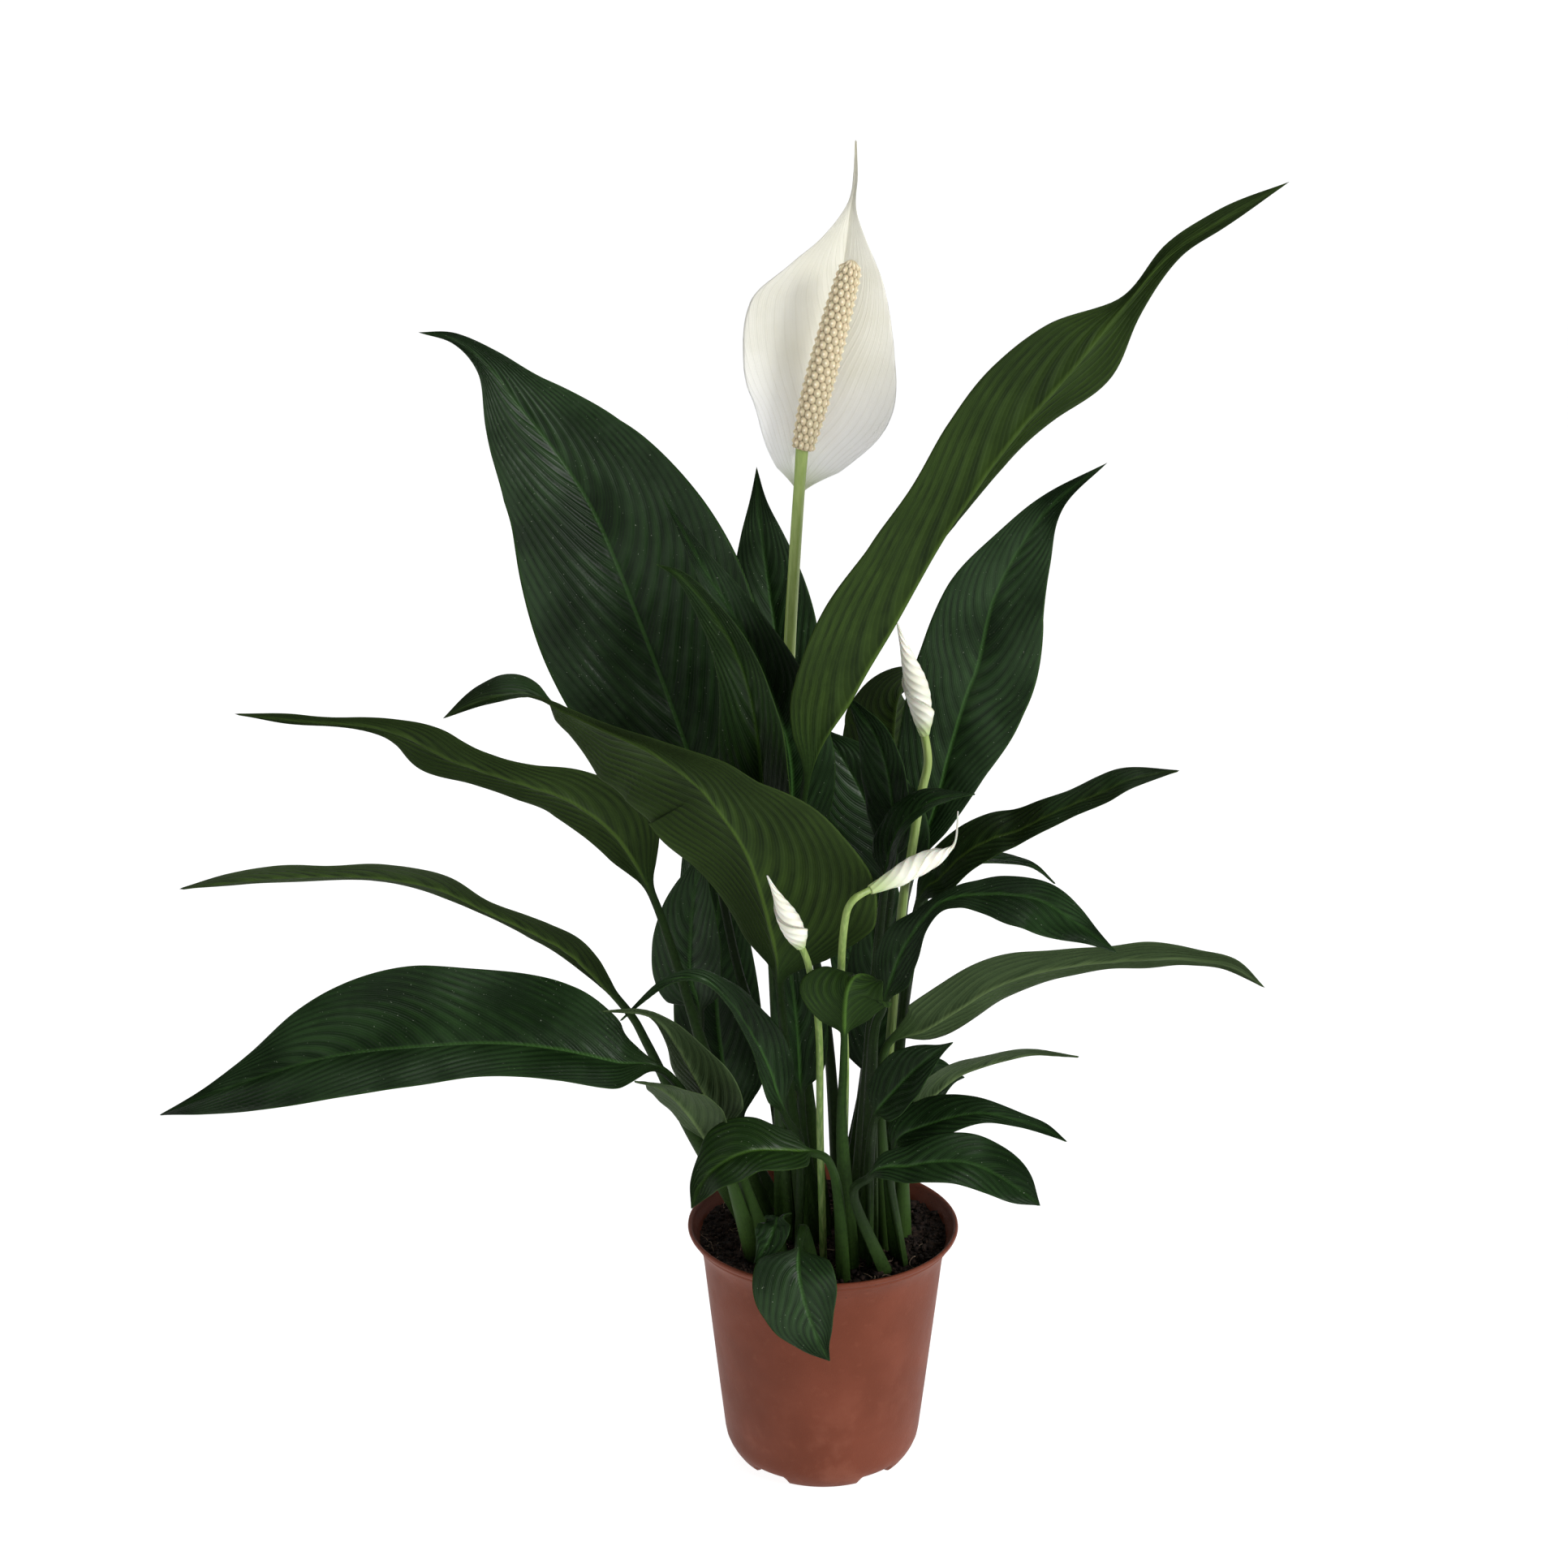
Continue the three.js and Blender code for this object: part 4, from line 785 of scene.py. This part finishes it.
def leaf_finish(name, upper, deep, under, rib, stalk):
    """Waxy green skin: mottled above, paler and duller below, veins a shade apart, painted shade in
    their valleys and a painted highlight on the margin.
    """
    finish = Finish(name, Specular_IOR_Level=0.1, Coat_Roughness=0.2)
    wide = finish.noise(38, 3).ramp(0.3, 0.7)
    fine = finish.noise(520, 3)
    above = finish.value("upper").ramp(0.35, 0.65)
    vein = finish.value("vein")
    line = finish.stripes(vein)
    thread = finish.stripes(vein * 5)
    patchy = finish.noise(90, 2).ramp(0.3, 0.7)
    crease = line ** 7 * (0.3 + patchy * 0.7)
    inside = 1 - finish.value("margin").ramp(0.8, 1)
    # painted_valley_shade: painted shade that darkens the sunk vein valleys towards the deep green,
    # on both faces.
    painted_valley_shade = line.ramp(0.35, 0.95) * (0.45 + patchy * 0.55) * inside
    midrib = (1 - finish.value("rib").ramp(0.35, 1.25)) * (0.95 - finish.value("along") * 0.85)
    # The margin is paled towards the rib colour: a painted highlight where light catches the edge of
    # the blade.
    edge = finish.value("margin").ramp(0.965, 0.995)
    top = finish.mix(wide, deep, upper)
    top = finish.mix((1 - line).ramp(0.35, 1) * patchy * 0.12, top, rib)
    top = finish.mix(painted_valley_shade * 0.8, top, deep)
    top = finish.mix(thread ** 3 * 0.10, top, rib)
    back = finish.mix(wide * 0.5, under, deep)
    back = finish.mix((1 - line).ramp(0.35, 1) * patchy * 0.15, back, rib)
    back = finish.mix(painted_valley_shade * 0.75, back, deep)
    back = finish.mix(thread ** 3 * 0.14, back, rib)
    face = finish.mix(above, back, top)
    face = finish.mix(midrib * 0.85, face, rib)
    # Painted highlight along the margin.
    face = finish.mix(edge * 0.35, face, rib)
    foot = finish.value("rise").ramp(0.45, 0.0)
    pale = finish.mix(foot * 0.35, stalk, colour(62, 86, 36))
    streak = finish.noise(600, 2).ramp(0.4, 0.7)
    pale = finish.mix(streak * 0.3, pale, deep)
    body = finish.mix(finish.value("blade"), pale, face)
    specks = finish.noise(1150, 1).ramp(0.755, 0.785) * above * 0.5
    body = finish.mix(specks, body, colour(150, 160, 140))
    relief = fine * 0.35 + (1 - thread ** 2) * 0.3 + (1 - crease) * 0.35
    return finish.feed(
        Base_Color=body,
        Roughness=0.52 - above * 0.2 + wide * 0.12,
        Coat_Weight=above * 0.16 * wide ** 2,
        Normal=finish.bump(relief, 0.0003),
    )


# How strongly single leaves are ribbed, how far their side veins sweep and how many they have.
RIBBING = {
    "upper_right": dict(relief=2, sweep=2, veins=0.75), "tall_left": dict(relief=1.3, sweep=1.1),
    "far_left_high": dict(relief=1.4, sweep=1.4), "far_left_low": dict(relief=1.4, sweep=1.4),
    "right_long_low": dict(relief=2, sweep=2.4), "big_low_left": dict(relief=0.7),
    "centre_narrow": dict(relief=1.6, sweep=2), "grey_left_a": dict(relief=1.8),
    "arching_inner": dict(relief=1.5, sweep=1.6), "right_low_thin": dict(relief=1.6, sweep=2),
    "centre_back": dict(relief=1.3, sweep=1.4), "centre_left_b": dict(relief=1.4, sweep=1.6),
    "front_cup": dict(stalk=0.8),
}
leaf_skins = {tone: leaf_finish(f"leaf_{tone}", **colours) for tone, colours in LEAF_TONES.items()}
LEAF_SLOTS = {"dark": "leaf_dark", "olive": "leaf_underside",
              "grey": "leaf_grey", "bright": "leaf_young"}
for number, (name, leaf) in enumerate(LEAVES.items()):
    points, faces, values = leaf_surface(name, {**leaf, **RIBBING.get(name, {})}, 100 + number)
    make_piece(f"{name}_leaf", points, faces, leaf_skins[leaf["tone"]], f"leaf_{name}",
               LEAF_SLOTS[leaf["tone"]], values)

# ---- flower stalk --------------------------------------------------------------------------
# A smooth round yellow-green stalk, paler under the flower, with the spathe's foot running a
# little way down one side of it.

FLOWER_STALK = [(-8, 8, 92), (-8.5, 8.2, 101), (-14, 10, 200), (-18, 12, 298), (-15, 12, 369),
                (-14, 10, 390), (-12, 6, 425), (-10, 2, 456)]


def stalk_finish():
    """Fresh green skin that pales upwards, with faint long streaks."""
    finish = Finish("flower_stalk_skin", Roughness=0.42, Specular_IOR_Level=0.45)
    height = finish.node("ShaderNodeSeparateXYZ", {}, finish.place(), output=2)
    streak = finish.node("ShaderNodeMapping", {}, Vector=finish.place(), Scale=(1, 1, 0.06))
    streaks = finish.noise(900, 3, streak)
    body = finish.mix(height.ramp(0.14, 0.40), colour(84, 116, 50), colour(140, 162, 84))
    body = finish.mix(streaks.ramp(0.35, 0.7) * 0.35, body, colour(176, 192, 118))
    return finish.feed(Base_Color=body, Normal=finish.bump(streaks, 0.00012))


stalk_skin = stalk_finish()
make_piece("flower_stem", *tube_surface(
    FLOWER_STALK, lambda share: 2.7 - 0.35 * share + 0.25 * eased((share - 0.93) / 0.07), 150, 24,
    relief=lambda share, angle: 0.10 * np.cos(5 * angle + 3 * share)),
    stalk_skin, "flower_stalk", "flower_stalk")

# ---- spathe --------------------------------------------------------------------------------
# The flower's white hood is one modified leaf: paper thin, cupped round the spike, with faint
# veins that sweep to the drawn-out tip, and green where it joins the stalk.

SPATHE = dict(
    path=[(-11, 9, 435), (-9, 13, 454), (-5, 16, 471), (-1, 18, 490), (4, 18, 510), (7, 17, 529),
          (9, 15, 546), (11, 11, 561), (11, 6, 577)],
    blade_from=0, fold=[12, 16, 16, 14, 12, 16, 30, 40],
    left=[2, 13, 22, 30, 34, 36, 33, 22, 10, 2.2, 1.1, 0.5],
    right=[2, 19, 28, 33, 32, 28, 22, 16, 8, 2, 1.1, 0.5], facing=[(0, -1, 0.1)],
    relief=0.35, sweep=1.2, wave=0.5)


def petal_finish():
    """Translucent cream white with hair-thin veins, greener towards the foot, and whitened above the
    foot by a painted highlight.
    """
    finish = Finish("petal", Roughness=0.5, Specular_IOR_Level=0.35,
                    Subsurface_Weight=0.35, Subsurface_Scale=0.004)
    finish.shader.inputs["Subsurface Radius"].default_value = (1.0, 0.95, 0.8)
    vein = finish.value("vein")
    line = finish.stripes(vein)
    thread = finish.stripes(vein * 4)
    foot = finish.value("along").ramp(0.10, 0.0)
    cloud = finish.noise(45, 2).ramp(0.3, 0.7)
    body = finish.mix(cloud, colour(222, 220, 203), colour(231, 229, 215))
    # Whiter over the lower part of the spathe, above the green foot: a painted highlight.
    body = finish.mix(finish.value("along").ramp(0.42, 0.12), body, colour(254, 254, 251))
    body = finish.mix(line ** 6 * 0.22 + thread ** 3 * 0.08, body, colour(206, 202, 184))
    body = finish.mix(foot * 0.7, body, colour(188, 204, 140))
    body = finish.mix(finish.value("along").ramp(0.86, 1.0) * 0.5, body, colour(196, 190, 150))
    relief = line ** 3 * 0.6 + thread * 0.25 + finish.noise(700, 2) * 0.15
    return finish.feed(Base_Color=body, Normal=finish.bump(relief, 0.00018))


petal = petal_finish()
points, faces, values = leaf_surface("spathe", SPATHE, 300)
make_piece("spathe", points, faces, petal, "flower_spathe", "petal", values)

# ---- spadix --------------------------------------------------------------------------------
# The flower's fleshy spike, packed with tiny cream florets in a spiral, each a dome with a
# pointed style, and painted shade in tan brown in the gaps between them.

SPADIX = [(-9.7, 2, 455.4), (-5, 1, 475), (0, 0, 494), (5, -1, 513), (10, -2, 531)]
SPADIX_CORE = [3.2, 4.5, 4.8, 4.6, 4.0, 3.0]
FLORET_ROWS = 25
FLORET_COLUMNS = 11
FLORET_HEIGHT = 1.9


def floret_shape(share, angle):
    """How far a point stands on its floret, 0 in the gaps to 1 at the style.

    Floret centres lie on a staggered lattice that climbs one row in a turn. With r the distance
    to the nearest centre in lattice steps, the shape is 0.74 of a dome, 1 - (r / 0.60) squared
    raised to 0.6, and 0.26 of a point, 1 - r / 0.24, in its middle.
    """
    column = angle / (2 * np.pi) * FLORET_COLUMNS
    row = share * FLORET_ROWS + column / FLORET_COLUMNS
    nearest = np.full(np.broadcast(row, column).shape, 9.0)
    for stagger in (0, 1):
        gap_row = (row - stagger + 1) % 2 - 1
        gap_column = (column - stagger / 2 + 0.5) % 1 - 0.5
        nearest = np.minimum(nearest, np.hypot(gap_row * 0.86, gap_column))
    dome = np.clip(1 - (nearest / 0.60) ** 2, 0, 1) ** 0.6
    return 0.74 * dome + 0.26 * np.clip(1 - nearest / 0.24, 0, 1)


def spadix_surface():
    """The core's tube with its florets as relief, rounded off over the last tenth."""
    def radius_at(share):
        core = smooth_values(SPADIX_CORE, share)
        return core * np.sqrt(np.clip(1 - ((share - 0.93) / 0.07).clip(0, 1) ** 2, 0.0, 1))

    def floret_relief(share, angle):
        return FLORET_HEIGHT * floret_shape(share, angle) * np.clip((1 - share) / 0.04, 0.15, 1)

    rows, sides = 420, 176
    points, faces = tube_surface(SPADIX, radius_at, rows, sides,
                                 relief=floret_relief)
    share = np.linspace(0, 1, rows)[:, None]
    angle = np.linspace(0, 2 * np.pi, sides, endpoint=False)[None, :]
    return points, faces, {"floret": np.concatenate([floret_shape(share, angle).ravel(), [0, 1]])}


def spadix_finish():
    """Waxy cream on the florets, with painted shade of tan brown in the gaps between them."""
    finish = Finish("floret_wax", Roughness=0.55, Specular_IOR_Level=0.35,
                    Subsurface_Weight=0.15, Subsurface_Scale=0.002)
    floret = finish.value("floret")
    # The tan brown where the floret relief falls to the gaps is painted shade.
    body = finish.mix(floret.ramp(0.12, 0.62), colour(104, 86, 58), colour(206, 192, 158))
    body = finish.mix(floret.ramp(0.72, 0.95), body, colour(236, 228, 204))
    return finish.feed(Base_Color=body, Normal=finish.bump(finish.noise(2400, 2), 0.00008))


points, faces, values = spadix_surface()
make_piece("spadix", points, faces, spadix_finish(), "flower_spadix", "spadix", values)

# ---- buds ----------------------------------------------------------------------------------
# Three unopened flowers: the spathe is still rolled round the spike, so its edge winds up the
# bud as a spiral step, on stalks like the open flower's.

BUDS = {
    "bud_upper": dict(
        stalk=[(18.5, 0, 92), (19, 0, 101), (26, 1, 158), (31, 3, 225), (34, 4, 262), (37, 7, 279),
               (41, 12, 304), (44, 14, 319), (42, 13, 334)],
        body=[(42.2, 13, 331.5), (40, 12, 348), (35, 10, 364), (30, 8, 381)],
        radii=[2.2, 4.4, 5.3, 5.0, 3.4, 1.6, 0.4], turns=1.6, stem=0.9),
    "bud_side": dict(
        stalk=[(6.5, -21, 92), (7, -22, 101), (8, -42, 171), (8, -50, 212), (6, -57, 248),
               (7, -66, 275), (10, -70, 286), (18.5, -65.8, 290.2)],
        body=[(17, -66.6, 289.6), (30, -60, 294), (40, -54, 297), (48, -50, 300), (52, -48, 304),
              (53, -46, 316)],
        radii=[2.0, 3.4, 4.6, 4.4, 3.4, 1.5, 0.6, 0.4, 0.3], turns=1.4, stem=0.72),
    "bud_front": dict(
        stalk=[(0, -27, 92), (0, -28, 101), (-2, -40, 170), (-3, -54, 224), (-7, -62, 254),
               (-11, -66, 267)],
        body=[(-10.6, -65.8, 264.8), (-14, -68, 275), (-19, -71, 286), (-24, -74, 298)],
        radii=[2.0, 4.2, 4.8, 4.1, 2.6, 1.1, 0.3], turns=1.3, stem=0.68),
}


def roll_edge(share, angle, turns):
    """The rolled spathe's step: 0 just past the edge, rising over a full turn to 1 at it."""
    return (angle / (2 * np.pi) + share * turns) % 1


def bud_finish():
    """Petal white, greener at the foot and along the rolled edge, with veins across the roll."""
    finish = Finish("bud_petal", Roughness=0.5, Specular_IOR_Level=0.35,
                    Subsurface_Weight=0.2, Subsurface_Scale=0.003)
    roll = finish.value("roll")
    line = finish.stripes(roll * 7)
    cloud = finish.noise(120, 2).ramp(0.3, 0.7)
    body = finish.mix(cloud, colour(226, 226, 208), colour(238, 237, 226))
    body = finish.mix(line ** 4 * 0.35, body, colour(186, 192, 160))
    body = finish.mix(roll.ramp(0.96, 1.0) * 0.5, body, colour(150, 170, 110))
    body = finish.mix(finish.value("along").ramp(0.22, 0.0) * 0.85, body, colour(150, 176, 98))
    return finish.feed(Base_Color=body, Normal=finish.bump(line ** 2, 0.0002))


bud_petal = bud_finish()
for name, bud in BUDS.items():
    stem = bud["stem"]
    make_piece(f"{name}_stem", *tube_surface(
        bud["stalk"], lambda share: stem * (2.4 - 0.5 * share), 120, 20,
        relief=lambda share, angle: 0.08 * np.cos(4 * angle + 2 * share)),
        stalk_skin, f"{name}_stalk", "flower_stalk")
    rows, sides, turns = 160, 72, bud["turns"]
    radii = bud["radii"]
    points, faces = tube_surface(
        bud["body"], lambda share: np.maximum(smooth_values(radii, share), 0.15), rows, sides,
        relief=lambda share, angle: smooth_values(radii, share.ravel())[:, None] * (
            0.26 * roll_edge(share, angle, turns) ** 1.5 - 0.14
            + 0.02 * np.cos(14 * np.pi * roll_edge(share, angle, turns))))
    share = np.linspace(0, 1, rows)[:, None]
    angle = np.linspace(0, 2 * np.pi, sides, endpoint=False)[None, :]
    roll = np.concatenate([roll_edge(share, angle, turns).ravel(), [0, 0]])
    along = np.concatenate([(share + 0 * angle).ravel(), [0, 1]])
    make_piece(f"{name}_petal", points, faces, bud_petal, name, "petal",
               {"roll": roll, "along": along})

# ---- floor and light -----------------------------------------------------------------------
# A wide white bowl that glows a little, so every side has the same plain ground, under one
# soft box at the right and a weak one overhead.

FLOOR_RADIUS = 9.0
WALL_TURN = 2.0
WALL_HEIGHT = 4.0


def bowl_surface():
    """A level disc to FLOOR_RADIUS, a quarter round of WALL_TURN and an upright wall."""
    turn = np.linspace(0, math.pi / 2, 16)
    wall = FLOOR_RADIUS + WALL_TURN
    out = np.concatenate([[0.01, 1, 3], FLOOR_RADIUS + WALL_TURN * np.sin(turn), [wall]])
    z = np.concatenate([[0, 0, 0], WALL_TURN * (1 - np.cos(turn)), [WALL_HEIGHT]])
    around = np.linspace(0, 2 * math.pi, 96, endpoint=False)
    points = np.stack([out[:, None] * np.cos(around), out[:, None] * np.sin(around),
                       z[:, None] + 0 * around], -1)
    return points.reshape(-1, 3), grid_faces(len(out), len(around), closed=True)[:, ::-1]


sheet_points, sheet_faces = bowl_surface()
sheet = bpy.data.meshes.new("backdrop")
sheet.from_pydata(sheet_points, [], sheet_faces.tolist())
sheet.shade_smooth()
paper = Finish("backdrop_paper", Roughness=0.9, Specular_IOR_Level=0.1)
paper.shader.inputs["Base Color"].default_value = (0.3, 0.3, 0.3, 1)
paper.shader.inputs["Emission Color"].default_value = (1, 1, 1, 1)
paper.shader.inputs["Emission Strength"].default_value = 0.93
sheet.materials.append(paper.material)
backdrop = bpy.data.objects.new("backdrop", sheet)
scene.collection.objects.link(backdrop)


def soft_box(name, place, aim, size, power):
    """A square light at `place`, turned to face `aim`."""
    light = bpy.data.lights.new(name, "AREA")
    light.size = size
    light.energy = power
    lamp = bpy.data.objects.new(name, light)
    lamp.location = place
    lamp.rotation_euler = (Vector(aim) - Vector(place)).to_track_quat("-Z", "Y").to_euler()
    scene.collection.objects.link(lamp)


soft_box("window", (1.8, -1.2, 1.2), (0, 0, 0.25), 0.9, 40)
soft_box("ceiling", (-0.3, 0.1, 2.3), (0, 0, 0.2), 1.4, 17)
world = bpy.data.worlds.new("room")
world.use_nodes = True
world.node_tree.nodes["Background"].inputs["Color"].default_value = (1, 1, 1, 1)
world.node_tree.nodes["Background"].inputs["Strength"].default_value = 0.1
scene.world = world
scene.view_settings.view_transform = "Standard"
